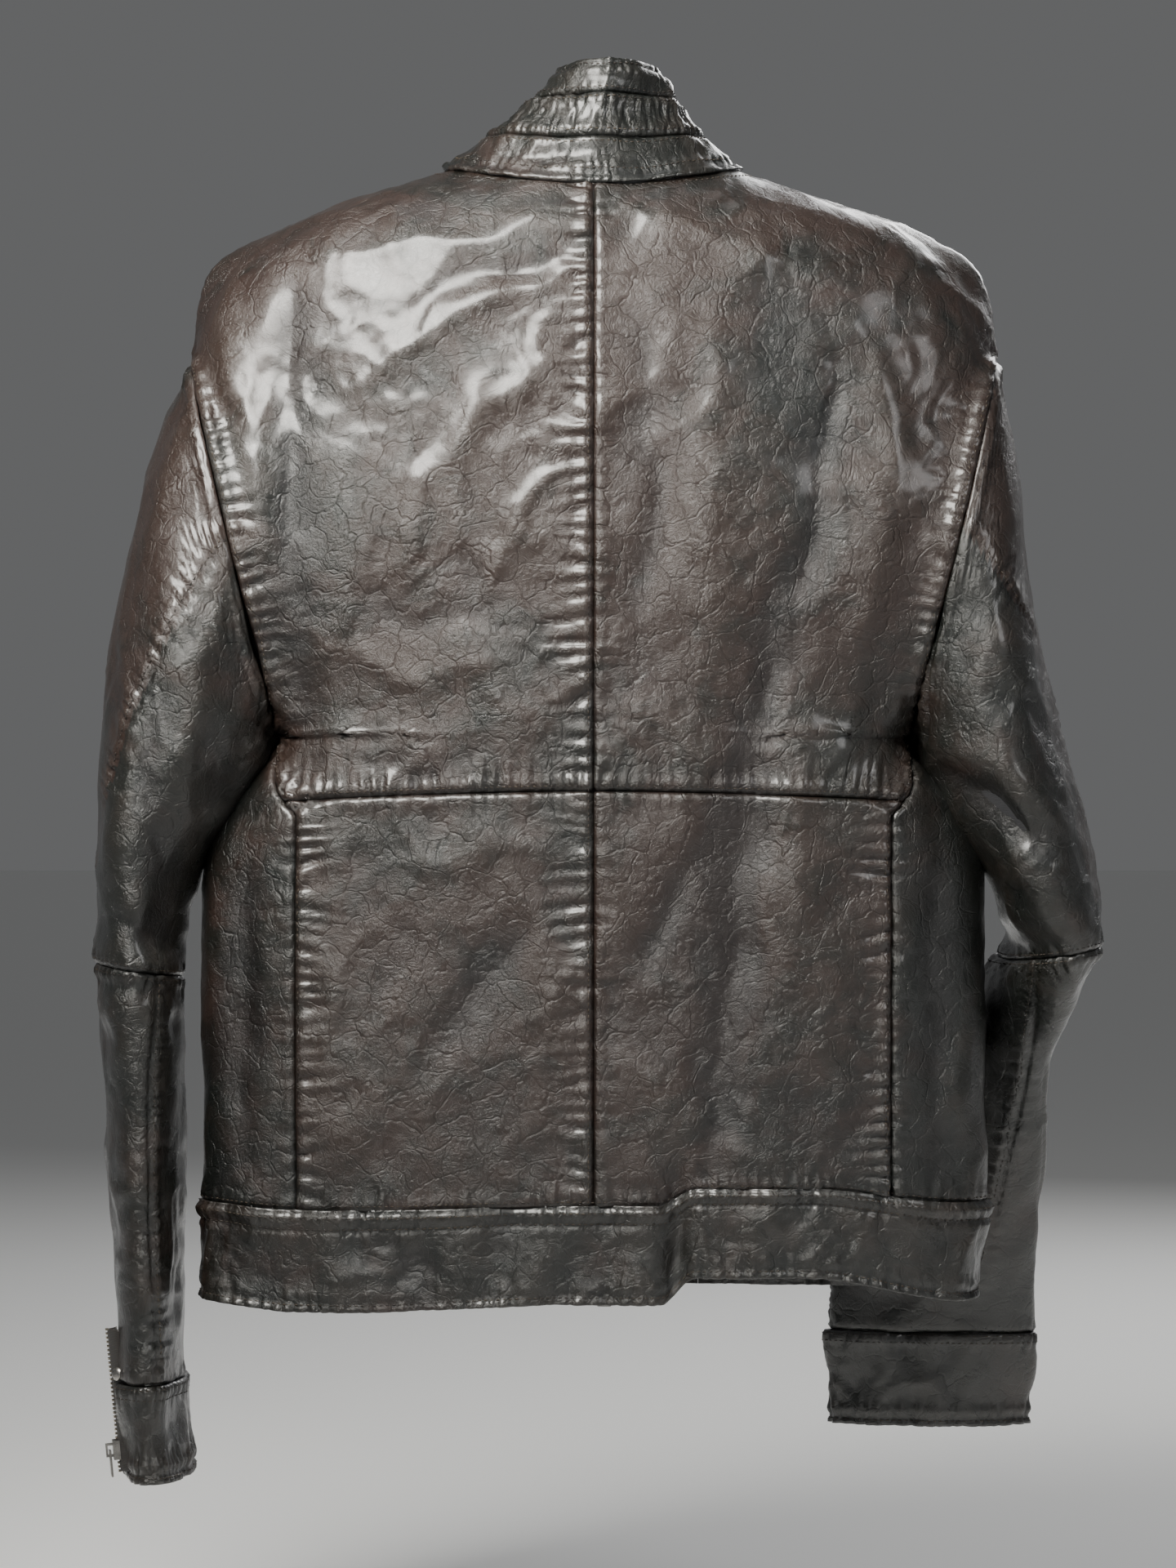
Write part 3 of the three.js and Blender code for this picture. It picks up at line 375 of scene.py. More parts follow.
# %% Gradient noise
table_rng = np.random.default_rng(11)
ORDER = np.tile(table_rng.permutation(256), 2)
DIRECTIONS = table_rng.normal(size=(256, 3))
DIRECTIONS /= np.linalg.norm(DIRECTIONS, axis=1, keepdims=True)
NOISE_GAIN = 1.7  # brings the heights to about -1 to 1


def noise(p):
    cell = np.floor(p).astype(int)
    f = p - cell
    u = f * f * f * (f * (f * 6 - 15) + 10)
    cell &= 255
    total = np.zeros(len(p))
    for corner in np.ndindex(2, 2, 2):
        x, y, z = ((cell[:, axis] + corner[axis]) & 255 for axis in range(3))
        pick = ORDER[ORDER[ORDER[x] + y] + z]
        a, b, c = (u[:, axis] if corner[axis] else 1 - u[:, axis] for axis in range(3))
        total += a * b * c * (DIRECTIONS[pick] * (f - corner)).sum(axis=1)
    return total * NOISE_GAIN


def noise_along(t, seed):
    t = np.asarray(t, float)
    return noise(np.stack([t, np.full_like(t, seed * 7.31), np.full_like(t, seed * 3.17)], axis=1))


sample = noise(table_rng.uniform(0, 40, (4000, 3)))
print("noise range:", sample.min().round(2), "to", sample.max().round(2))


# %% Crumple: sharp creases between soft faces
def crumple(p, gain=1.0, seed=0.0):
    q = p + seed * 37.0
    bend = np.stack([noise(q / 46 + 9), noise(q / 46 + 27), noise(q / 46 + 51)], axis=1)
    warped = q + 15 * bend
    leaning = warped @ np.array([[0.93, 0, -0.36], [0, 1, 0], [0.36, 0, 0.93]])
    coarse = 1 - np.abs(noise(leaning / [46, 46, 70]))
    medium = 1 - np.abs(noise(warped / [21, 21, 27] + 5)) * 1.5
    fine = np.abs(noise((warped + 6 * bend[:, ::-1]) / 10.5 + 13))
    quiet = 0.35 + 0.65 * ease(noise(q / 85 + 77), -0.35, 0.45)
    return gain * (2.3 * (coarse - 0.7) + quiet * (0.95 * (medium - 0.5) - 0.5 * (fine - 0.25)))


# %% Large folds, drawn as strokes seen from behind: points as (x, z), height, half width
BACK_FOLDS = [
    ([(17, -28), (77, -46), (142, -46)], 2.4, 8), ([(12, -60), (77, -83), (137, -125)], 3.2, 9),
    ([(12, -46), (59, -60), (114, -83)], -2.2, 7),
    ([(17, -111), (59, -139), (96, -180), (105, -231)], 3.4, 11),
    ([(12, -166), (40, -194), (59, -240)], 2.4, 8),
    ([(174, -74), (177, -139), (170, -231), (167, -314)], -4.6, 13),
    ([(207, -69), (211, -106), (197, -148), (183, -222)], 4.2, 10),
    ([(77, -259), (59, -300), (40, -323)], 2.4, 9), ([(151, -277), (96, -291), (50, -277)], 2.2, 8),
    ([(142, -245), (100, -262), (62, -250)], -1.8, 8), ([(-29, -106), (-34, -185), (-25, -268)], -2.4, 12),
    ([(-71, -102), (-66, -185), (-61, -277)], 2.8, 16),
    ([(-163, -102), (-168, -166), (-154, -259)], 4.6, 13),
    ([(-135, -102), (-131, -185), (-117, -259)], -3.2, 10), ([(-15, -18), (-80, -46), (-149, -65)], 2.2, 9),
    ([(-108, -231), (-89, -323), (-75, -485), (-66, -577)], -6.0, 15),
    ([(-126, -277), (-119, -370), (-108, -485)], 3.4, 18),
    ([(114, -531), (77, -485), (40, -430)], -3.2, 14), ([(151, -564), (105, -508), (77, -462)], 2.8, 13),
    ([(22, -388), (62, -386), (105, -400)], 2.6, 9), ([(45, -400), (30, -450), (14, -520)], 3.0, 12),
    ([(-34, -453), (-57, -397), (-80, -380)], -2.4, 10), ([(-20, -500), (-45, -545), (-60, -580)], 2.2, 10),
    ([(-150, -420), (-130, -480), (-140, -560)], 2.6, 12),
    ([(165, -400), (150, -470), (160, -560)], 2.4, 12), ([(195, -400), (205, -480), (200, -570)], -4.0, 11),
    ([(-190, -380), (-200, -470), (-195, -570)], -3.6, 11),
    ([(-215, -470), (-212, -530), (-222, -585)], 3.0, 9), ([(60, -330), (95, -345), (140, -340)], -1.8, 8),
    ([(-20, -310), (-60, -335), (-110, -330)], 1.8, 9),
]
SLEEVE_FOLDS = [
    ([(211, -240), (230, -323), (234, -393)], 3.4, 8), ([(243, -277), (253, -370), (250, -440)], -3.0, 9),
    ([(262, -320), (268, -380), (262, -430)], 2.4, 9), ([(276, -453), (248, -457), (235, -462)], 2.6, 6),
    ([(271, -430), (245, -440), (230, -444)], -3.2, 6), ([(262, -480), (240, -500), (232, -540)], 2.2, 8),
    ([(270, -560), (255, -600), (262, -650)], 2.0, 8), ([(232, -140), (246, -180), (250, -230)], 2.6, 9),
    ([(-196, -324), (-232, -342), (-269, -374)], 4.6, 8),
    ([(-200, -337), (-232, -362), (-260, -393)], -5.6, 8),
    ([(-209, -352), (-214, -407), (-218, -462)], 4.0, 10),
    ([(-235, -380), (-250, -410), (-270, -425)], 3.0, 8),
    ([(-222, -300), (-250, -310), (-268, -335)], -2.6, 8),
    ([(-228, -250), (-240, -290), (-250, -330)], 2.6, 9),
    ([(-245, -470), (-262, -520), (-258, -600)], -2.4, 9),
    ([(-270, -440), (-276, -500), (-268, -570)], 2.2, 8),
    ([(-225, -520), (-238, -570), (-230, -640)], 2.4, 8),
]


def stroke_field(x, z, points, sigma):
    points = np.asarray(points, float)
    best, share, start = np.full(len(x), 1e9), np.zeros(len(x)), 0.0
    lengths = np.hypot(*np.diff(points, axis=0).T)
    for (ax, az), (bx, bz), size in zip(points[:-1], points[1:], lengths):
        t = np.clip(((x - ax) * (bx - ax) + (z - az) * (bz - az)) / size ** 2, 0, 1)
        away = np.hypot(x - ax - t * (bx - ax), z - az - t * (bz - az))
        closer = away < best
        best = np.where(closer, away, best)
        share = np.where(closer, (start + t * size) / lengths.sum(), share)
        start += size
    taper = np.clip(np.sin(math.pi * (0.06 + 0.88 * share)), 0, 1) ** 0.7
    width = sigma * (0.55 + 0.6 * taper)
    return taper * np.exp(-np.abs(best / width) ** 1.6)


def large_folds(p, n, strokes):
    wander = 7 * np.stack([noise(p / 38 + 3), noise(p / 38 + 61)], axis=1)
    x, z = p[:, 0] + wander[:, 0], p[:, 2] + wander[:, 1]
    total = np.zeros(len(p))
    for points, height, sigma in strokes:
        total += height * stroke_field(x, z, points, sigma)
    behind = ease(n[:, 1], -0.1, 0.35)
    drape = 2.6 * noise(p / [58, 58, 150] + 31) + 1.8 * noise(p / [34, 34, 60] + 17)
    return total * behind + drape * (0.35 + 0.65 * (1 - behind))


print(len(BACK_FOLDS), "folds drawn on the back and", len(SLEEVE_FOLDS), "on the sleeves")

# %% [markdown]
# ### Seams
# A stitched seam in washed leather is a groove with a welt beside it, where the seam allowance is folded
# under the row of stitches. Washing shrinks the thread less than the skin, so short rounded puckers with
# sharp valleys between them stand across the seam. A seam here is a line of points with a style.


# %% How a seam shapes the leather near it
STITCH_OFFSET = 3.0  # the row of stitches beside a seam
SEAM_RANGE = 32  # a seam does nothing farther away than this
POINT_SPACING, END_REACH = 3.5, 4
POINTS_AT_ONCE = 4000


class Seam:
    def __init__(self, points, stitched=1, pucker=1.6, reach=13, other=0.5, pitch=8.5, groove=1.1, welt=0.9,
                 seed=1):
        steps = np.linalg.norm(np.diff(points, axis=0), axis=1)
        along = np.concatenate([[0], np.cumsum(steps)])
        wanted = np.linspace(0, along[-1], max(3, int(along[-1] / POINT_SPACING)))
        self.points = np.stack([np.interp(wanted, along, points[:, k]) for k in range(3)], axis=1)
        self.along = wanted
        tangents = np.gradient(self.points, axis=0)
        self.tangents = tangents / np.linalg.norm(tangents, axis=1, keepdims=True)
        self.stitched, self.pucker, self.reach, self.other = stitched, pucker, reach, other
        self.pitch, self.groove, self.welt, self.seed = pitch, groove, welt, seed

    def relief(self, p, n):
        low, high = self.points.min(axis=0) - SEAM_RANGE, self.points.max(axis=0) + SEAM_RANGE
        total = np.zeros(len(p))
        index = np.flatnonzero(((p > low) & (p < high)).all(axis=1))
        for part in np.array_split(index, max(1, len(index) // POINTS_AT_ONCE)):
            if not len(part):
                continue
            q, qn = p[part], n[part]
            squared = ((q[:, None, :] - self.points[None]) ** 2).sum(axis=2)
            j = squared.argmin(axis=1)
            offset = q - self.points[j]
            tangent = self.tangents[j]
            run = (offset * tangent).sum(axis=1)
            away = np.sqrt(np.clip(squared[np.arange(len(part)), j] - run ** 2, 0, None))
            past_end = np.abs(run) > END_REACH
            away = np.where(past_end, np.hypot(away, np.abs(run) - END_REACH), away)
            t = self.along[j] + run
            side = np.sign((offset * np.cross(qn, tangent)).sum(axis=1)) * self.stitched
            total[part] = self.profile(away, t, side)
        return total

    def profile(self, away, t, side):
        seed = self.seed
        u = t / self.pitch + 0.8 * noise_along(t / 26, seed) + 0.25 * noise_along(t / 7, seed + 1)
        u = u + away / self.pitch * 0.45 * noise_along(t / 31, seed + 2)
        ridge = 1.9 * (np.abs(np.cos(math.pi * u)) ** 0.8 - 0.62)
        strength = 0.55 + 0.65 * ease(noise_along(t / 19, seed + 3), -0.5, 0.5)
        reach = self.reach * (0.7 + 0.6 * ease(noise_along(t / 12, seed + 4), -0.5, 0.5))
        on_side = side > 0
        height = np.where(on_side, self.pucker, self.pucker * self.other) * strength
        reach = np.where(on_side, reach, reach * 0.6)
        folds = height * ridge * (1 - np.exp(-(away / 1.6) ** 2)) * np.exp(-(away / reach) ** 2.6)
        groove = -self.groove * np.exp(-(away / 1.25) ** 2)
        welt = np.where(on_side, self.welt, self.welt * 0.35) * np.exp(-((away - 4.4) / 3.2) ** 2)
        stitch = np.where(on_side, -0.45 * np.exp(-((away - STITCH_OFFSET) / 0.8) ** 2), 0)
        return folds + groove + welt + stitch


# %% Seam lines of the body
def mid_level(around):
    return MID_SEAM - 9 * np.abs(around) ** 1.6


lower = np.linspace(ARMHOLE_BOTTOM, BAND_SEAM, 60)
upper = np.linspace(NECK_LEVEL, ARMHOLE_TOP, 40)
armhole = ARMHOLE_MIDDLE + ARMHOLE_DEPTH / 2 * np.cos(np.linspace(0.02, math.pi - 0.02, 50))
whole = np.linspace(NECK_LEVEL, BAND_SEAM, 120)
body_seams = {}


def add_seam(name, around, level, *style, **more):
    body_seams[name] = Seam(body_points(around, level), *style, **more)


add_seam("centre_back", 0, whole, -1, 1.9, 19, 0.35, 10.5, welt=1.3, seed=3)
add_seam("neck", np.linspace(-1.9, 1.9, 200), 5, -1, 0.9, 7, 0.2, 7, seed=5)
add_seam("hem_top", np.linspace(-1.9, 1.9, 300), BAND_SEAM, -1, 1.5, 12, 0.9, 6.5, welt=0.6, seed=7)
for word, sign in SIDES:
    middle = np.linspace(0, float(side_back([MID_SEAM])[0]), 60) * sign
    add_seam("mid_back_" + word, middle, mid_level(middle), -sign, 1.4, 16, 0.6, 8, groove=1.4, seed=9 + sign)
    add_seam("side_back_" + word, side_back(lower) * sign, lower, sign, 2.2, 17, 0.6, 9, seed=12 + sign)
    add_seam("armhole_back_" + word, 0.998 * sign, armhole, sign, 1.9, 15, 0.4, 9, groove=0.3, seed=15 + sign)
    add_seam("armhole_front_" + word, 1.002 * sign, armhole, -sign, 1.4, 11, 0.4, 8, seed=18 + sign)
    add_seam("shoulder_" + word, sign, upper, -sign, 0.9, 9, 0.5, 9, seed=21 + sign)
    add_seam("side_front_" + word, SIDE_FRONT * sign, lower, -sign, 1.2, 11, 0.5, 9, seed=24 + sign)
    add_seam("front_fold_" + word, fold_round(whole) * sign, whole, -sign, 1.0, 10, 0.5, 9, seed=27 + sign)
print(len(body_seams), "seams on the body")

# %% [markdown]
# ## Panels
# A panel is a grid of points on its surface, pushed out along its normals by the relief, and given the
# thickness of the skin. Its flat size, before it was sewn and hung, comes from the grid without relief.
# Two values are stored on its points: `skin`, where the point lay before the relief, so the leather's
# pattern stays on it when it bends, and the relief height, how far it stands proud, since raised leather rubs
# shiny and the sunken creases are given painted shade.


# %% Normals of a grid, and the step in the lower edge
def grid_normals(points, ring=False):
    if ring:
        across = np.roll(points, -1, axis=1) - np.roll(points, 1, axis=1)
    else:
        across = np.gradient(points, axis=1)
    down = np.gradient(points, axis=0)
    normals = np.cross(across, down)
    return normals / np.clip(np.linalg.norm(normals, axis=2, keepdims=True), 1e-9, None)


def settle(p):
    """The hem is hitched up on the right of the centre back and droops to the left and towards the side."""
    x, z = p[..., 0], p[..., 2]
    low = ease(-z, 520, 640) * ease(p[..., 1], -30, 20)
    hitch = 15 * ease(-x, 38, 58) * (1 - ease(-x, 120, 215)) - 5 * ease(x, 20, 140) * (1 - ease(x, 170, 230))
    tuck = -7 * np.exp(-((x + 47) / 7) ** 2)
    moved = p.copy()
    moved[..., 2] += low * hitch
    moved[..., 1] += low * tuck
    return moved


# %% Faces of a grid, of the walls round its edges, and a new piece in the scene
def grid_quads(rows, columns, ring):
    r = np.arange(rows - 1)[:, None]
    c = np.arange(columns if ring else columns - 1)[None, :]
    a, b = r * columns + c, r * columns + (c + 1) % columns
    return np.stack([a, b, b + columns, a + columns], axis=-1).reshape(-1, 4)


def edge_wall(line, count, closed, turned):
    now, after = (line, np.roll(line, -1)) if closed else (line[:-1], line[1:])
    wall = np.stack([now, after, after + count, now + count], axis=1)
    return wall[:, ::-1] if turned else wall


def new_piece(name, mesh):
    made = bpy.data.objects.new(name, mesh)
    bpy.context.scene.collection.objects.link(made)
    return made


# %% From a grid to a sheet of leather
RELIEF_LIMIT, EDGE_ROUNDING = 8.5, 0.25


def make_sheet(name, base, relief, thick, ring=False, settled=True):
    normals = grid_normals(base, ring)
    centre = base.reshape(-1, 3).mean(axis=0)
    if name.startswith("body"):
        outward = (normals[..., :2] * (base[..., :2] - [0, -5])).sum()
    else:
        ring_centre = base.mean(axis=1, keepdims=True) if ring else centre
        outward = (normals * (base - ring_centre)).sum()
    flip = outward < 0
    if flip:
        normals = -normals
    rows, columns = base.shape[:2]
    height = relief(base.reshape(-1, 3), normals.reshape(-1, 3)).reshape(rows, columns)
    height = np.where(height > 0, RELIEF_LIMIT * np.tanh(height / RELIEF_LIMIT), height)
    rim = np.zeros((rows, columns))
    rim[0], rim[-1] = 1, 1
    if not ring:
        rim[:, 0], rim[:, -1] = 1, 1
    outer = base + normals * (height - EDGE_ROUNDING * rim)[..., None]
    inner = base + normals * (height - thick)[..., None]
    if settled:
        outer, inner = settle(outer), settle(inner)
    count = rows * columns
    quads = grid_quads(rows, columns, ring)
    inside = quads[:, ::-1] + count
    top, bottom = np.arange(columns), (rows - 1) * columns + np.arange(columns)
    walls = [edge_wall(top, count, ring, True), edge_wall(bottom, count, ring, False)]
    if not ring:
        left, right = np.arange(rows) * columns, np.arange(rows) * columns + columns - 1
        walls += [edge_wall(left, count, False, False), edge_wall(right, count, False, True)]
    faces = np.concatenate([quads, inside] + walls)
    if flip:
        faces = faces[:, ::-1]
    points = np.concatenate([outer.reshape(-1, 3), inner.reshape(-1, 3)])
    mesh = bpy.data.meshes.new(name)
    mesh.vertices.add(len(points))
    mesh.vertices.foreach_set("co", (points / 1000).ravel())
    mesh.loops.add(len(faces) * 4)
    mesh.loops.foreach_set("vertex_index", faces.ravel().astype(np.int32))
    mesh.polygons.add(len(faces))
    mesh.polygons.foreach_set("loop_start", np.arange(len(faces), dtype=np.int32) * 4)
    mesh.polygons.foreach_set("use_smooth", np.ones(len(faces), dtype=bool))
    mesh.update(calc_edges=True)
    rest = np.concatenate([base.reshape(-1, 3)] * 2) / 1000
    mesh.attributes.new("skin", "FLOAT_VECTOR", "POINT").data.foreach_set("vector", rest.ravel())
    # The stored height lightens raised leather as wear and darkens sunken creases as painted shade.
    lift = np.concatenate([height.ravel()] * 2) / 6
    mesh.attributes.new("wear", "FLOAT", "POINT").data.foreach_set("value", np.clip(lift, -1, 1))
    piece = new_piece(name, mesh)
    cell = np.cross(base[1:, :-1] - base[:-1, :-1], base[:-1, 1:] - base[:-1, :-1])
    piece["flat_area"] = float(np.linalg.norm(cell, axis=2).sum() / 1e6)
    piece["flat_size"] = [float(np.linalg.norm(np.diff(base, axis=1), axis=2).sum(axis=1).max() / 1000),
                          float(np.linalg.norm(np.diff(base, axis=0), axis=2).sum(axis=0).max() / 1000)]
    return piece


# %% Finishing a piece: what it stands for, what it moves with, and its material
FOLLOW = {}
for word, x in (("left", 1), ("right", -1)):
    FOLLOW["front_" + word] = ("torso", "front_" + word, (0.062 * x, 0, 0), (0.042 * x, 0, 0))
    FOLLOW["sleeve_" + word] = ("torso", "sleeve_" + word, (0.2055 * x, 0, -0.2145), (0.2636 * x, 0, -0.2293))
    FOLLOW["forearm_" + word] = ("sleeve_" + word, "forearm_" + word, (0, 0, -0.452), (0, 0, -0.535))
LEATHER_PIECES = {}


def follow(piece, group):
    if group in FOLLOW:
        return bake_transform(piece, *FOLLOW[group])
    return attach(piece, group)


def finish_sheet(piece, group, nodes, material):
    piece.data.materials.append(material)
    follow(piece, group)
    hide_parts(*nodes)
    LEATHER_PIECES.setdefault(group, []).append(piece)
    return piece


# %% [markdown]
# ## Leather, lining and metal
# Washed lambskin is dyed unevenly: charcoal with a green cast, dark brown and oxblood run into each other.
# It is glossy, rubbed lighter on raised folds and dull in the creases, where painted shade also darkens its
# colour. All of it comes from noise on the
# `skin` attribute. Three bumps lie under the gloss: fine crossing creases, pores, and a soft unevenness.


# %% A helper to make nodes
def node(tree, kind, inputs=None, **settings):
    made = tree.nodes.new(kind)
    for key, value in settings.items():
        setattr(made, key, value)
    for key, value in (inputs or {}).items():
        if isinstance(value, bpy.types.NodeSocket):
            tree.links.new(value, made.inputs[key])
        else:
            made.inputs[key].default_value = value
    return made


def new_material(name):
    material = bpy.data.materials.new(name)
    material.use_nodes = True
    tree = material.node_tree
    return material, tree, tree.nodes["Principled BSDF"]


def mix_colour(tree, share, one, two, blend="MIX"):
    made = node(tree, "ShaderNodeMix", data_type="RGBA", blend_type=blend)
    for socket, value in ((made.inputs[0], share), (made.inputs[6], one), (made.inputs[7], two)):
        if isinstance(value, bpy.types.NodeSocket):
            tree.links.new(value, socket)
        else:
            socket.default_value = value
    return made.outputs[2]


def ramp(tree, factor, stops):
    made = node(tree, "ShaderNodeValToRGB", {0: factor})
    band = made.color_ramp
    while len(band.elements) < len(stops):
        band.elements.new(0.5)
    for element, (place, colour) in zip(band.elements, stops):
        element.position, element.color = place, (*colour, 1)
    return made.outputs[0]


def mapped(tree, value, low, high, to_low, to_high):
    return node(tree, "ShaderNodeMapRange", {0: value, 1: low, 2: high, 3: to_low, 4: to_high}).outputs[0]


def texture(tree, kind, place, scale, output="Fac", detail=None, roughness=None, distortion=None, **settings):
    inputs = {"Vector": place, "Scale": scale, "Detail": detail, "Roughness": roughness,
              "Distortion": distortion}
    given = {key: value for key, value in inputs.items() if value is not None}
    return node(tree, "ShaderNodeTex" + kind, given, **settings).outputs[output]


def worked_out(tree, operation, *values):
    return node(tree, "ShaderNodeMath", dict(enumerate(values)), operation=operation).outputs[0]


def add_bumps(tree, shader, *bumps):
    """Each bump is a height, a strength and a distance, and lies on the one before it."""
    below = {}
    for height, strength, distance in bumps:
        inputs = {"Height": height, "Strength": strength, "Distance": distance, **below}
        below = {"Normal": node(tree, "ShaderNodeBump", inputs).outputs[0]}
    tree.links.new(below["Normal"], shader.inputs["Normal"])


# %% Leather
CHARCOAL, UMBER = (0.0066, 0.0082, 0.0070), (0.0112, 0.0094, 0.0074)
OXBLOOD, TAN = (0.0235, 0.0136, 0.0104), (0.046, 0.037, 0.029)
# The first of these two colours is painted shade for the sunken creases; the second is dark flecks in the
# grain.
CREASE_PAINTED_SHADE, FLECK_DARK = (0.008, 0.007, 0.007, 1), (0.012, 0.009, 0.008, 1)
CLOUD_SHARE, PATCH_SHARE = 0.62, 0.38  # how much of the dye's change is wide, and how much is small


def leather(name, red=0.5, shade=1.0, gloss=0.0, shift=0.0):
    material, tree, shader = new_material(name)
    skin = node(tree, "ShaderNodeAttribute", attribute_name="skin").outputs["Vector"]
    moved = node(tree, "ShaderNodeVectorMath", {0: skin, 1: (shift, shift * 0.7, -shift)},
                 operation="ADD").outputs[0]
    wear = node(tree, "ShaderNodeAttribute", attribute_name="wear").outputs["Fac"]
    cloud = texture(tree, "Noise", moved, 9, detail=3, roughness=0.55, distortion=0.6)
    patch = texture(tree, "Noise", moved, 38, detail=5, roughness=0.62, distortion=0.8)
    fleck = texture(tree, "Noise", moved, 420, detail=3)
    dye = worked_out(tree, "MULTIPLY_ADD", cloud, CLOUD_SHARE, red - (CLOUD_SHARE + PATCH_SHARE) / 2)
    dye = worked_out(tree, "MULTIPLY_ADD", patch, PATCH_SHARE, dye)
    stops = ((0.40, CHARCOAL, 1), (0.47, UMBER, 1), (0.56, OXBLOOD, 1), (0.75, OXBLOOD, 1.1))
    tone = ramp(tree, dye, [(at, tuple(v * shade * more for v in colour)) for at, colour, more in stops])
    rubbed = worked_out(tree, "MULTIPLY", mapped(tree, wear, -0.1, 0.75, 0, 0.55), patch)
    tone = mix_colour(tree, rubbed, tone, (*TAN, 1))
    # Painted shade: where the relief sinks into a crease, the colour is darkened towards near-black.
    tone = mix_colour(tree, mapped(tree, wear, -0.02, -0.4, 0, 0.6), tone, CREASE_PAINTED_SHADE)
    tone = mix_colour(tree, mapped(tree, fleck, 0.56, 0.72, 0, 0.35), tone, FLECK_DARK)
    tree.links.new(tone, shader.inputs["Base Color"])
    dull = worked_out(tree, "ADD", patch, mapped(tree, wear, -0.4, 0.6, 0.1, -0.05))
    tree.links.new(mapped(tree, dull, 0.3, 0.8, 0.24 - gloss, 0.44 - gloss), shader.inputs["Roughness"])
    shader.inputs["Coat Weight"].default_value = 0.6
    shader.inputs["Coat Roughness"].default_value = 0.2
    shader.inputs["Specular IOR Level"].default_value = 0.62
    bent = texture(tree, "Noise", moved, 45, "Color", detail=3)
    warped = node(tree, "ShaderNodeVectorMath", {0: bent, 1: (0.02, 0.02, 0.02), 2: moved},
                  operation="MULTIPLY_ADD").outputs[0]
    creases = texture(tree, "Voronoi", warped, 62, "Distance", feature="DISTANCE_TO_EDGE")
    lines = texture(tree, "Voronoi", warped, 210, "Distance", feature="DISTANCE_TO_EDGE")
    crinkle = texture(tree, "Noise", warped, 330, detail=7, roughness=0.68)
    pores = texture(tree, "Voronoi", moved, 1050, "Distance", feature="F1")
    add_bumps(tree, shader, (mapped(tree, creases, 0, 0.05, 0, 1), 0.42, 0.0007),
              (mapped(tree, lines, 0, 0.1, 0, 1), 0.30, 0.00025), (crinkle, 0.85, 0.0010),
              (pores, 0.35, 0.00018))
    return material


BODY_LEATHER = {word: leather("washed_leather_" + word, red, shift=shift)
                for word, red, shift in (("left", 0.535, 0.0), ("right", 0.53, 0.31), ("side", 0.44, 0.7),
                                         ("front", 0.52, 0.9))}
OUTER_SLEEVE = leather("washed_leather_outer_sleeve", 0.58, shift=1.3)
UNDER_SLEEVE = leather("washed_leather_under_sleeve", 0.42, shade=0.95, gloss=0.02, shift=1.7)
TRIM_LEATHER = leather("washed_leather_trim", 0.45, shade=0.92, shift=2.2)
COLLAR_LEATHER = leather("washed_leather_collar", 0.40, shade=0.95, gloss=0.03, shift=2.9)
FACING_LEATHER = leather("washed_leather_facing", 0.44, shade=0.85, shift=3.4)
print("leather dyes:", [m.name for m in bpy.data.materials if "leather" in m.name])


# %% Lining: a fine twill with a dull shine
def twill(name, dark, light):
    material, tree, shader = new_material(name)
    skin = node(tree, "ShaderNodeAttribute", attribute_name="skin").outputs["Vector"]
    across = texture(tree, "Wave", skin, 420, detail=1, distortion=0.6, bands_direction="DIAGONAL")
    slub = texture(tree, "Noise", skin, 60, detail=4)
    tone = mix_colour(tree, across, (*dark, 1), (*light, 1))
    tone = mix_colour(tree, mapped(tree, slub, 0.35, 0.7, 0, 0.5), tone, (*dark, 1))
    tree.links.new(tone, shader.inputs["Base Color"])
    tree.links.new(mapped(tree, slub, 0.3, 0.7, 0.42, 0.6), shader.inputs["Roughness"])
    shader.inputs["Sheen Weight"].default_value = 0.25
    add_bumps(tree, shader, (across, 0.35, 0.0002))
    return material


LINING_CLOTH = twill("lining_twill", (0.010, 0.010, 0.012), (0.026, 0.026, 0.030))
TAPE_CLOTH = twill("zip_tape_twill", (0.012, 0.010, 0.009), (0.030, 0.024, 0.020))


# %% Metal, and thread
def old_metal(name, colour, low, high):
    material, tree, shader = new_material(name)
    place = node(tree, "ShaderNodeTexCoord").outputs["Object"]
    scuff = texture(tree, "Noise", place, 900, detail=4, roughness=0.7)
    stain = texture(tree, "Noise", place, 160, detail=3)
    stained = (*[v * 0.45 for v in colour], 1)
    tone = mix_colour(tree, mapped(tree, stain, 0.35, 0.75, 0, 0.8), (*colour, 1), stained)
    tree.links.new(tone, shader.inputs["Base Color"])
    tree.links.new(mapped(tree, scuff, 0.3, 0.75, low, high), shader.inputs["Roughness"])
    shader.inputs["Metallic"].default_value = 1
    add_bumps(tree, shader, (scuff, 0.25, 0.0001))
    return material


def sewing_thread(name, dark, light):
    material, tree, shader = new_material(name)
    place = node(tree, "ShaderNodeTexCoord").outputs["Object"]
    change = texture(tree, "Noise", place, 22, detail=2)
    twist = texture(tree, "Wave", place, 1400, bands_direction="DIAGONAL")
    tree.links.new(mix_colour(tree, mapped(tree, change, 0.42, 0.66, 0, 1), (*dark, 1), (*light, 1)),
                   shader.inputs["Base Color"])
    shader.inputs["Roughness"].default_value = 0.6
    add_bumps(tree, shader, (twist, 0.5, 0.0001))
    return material


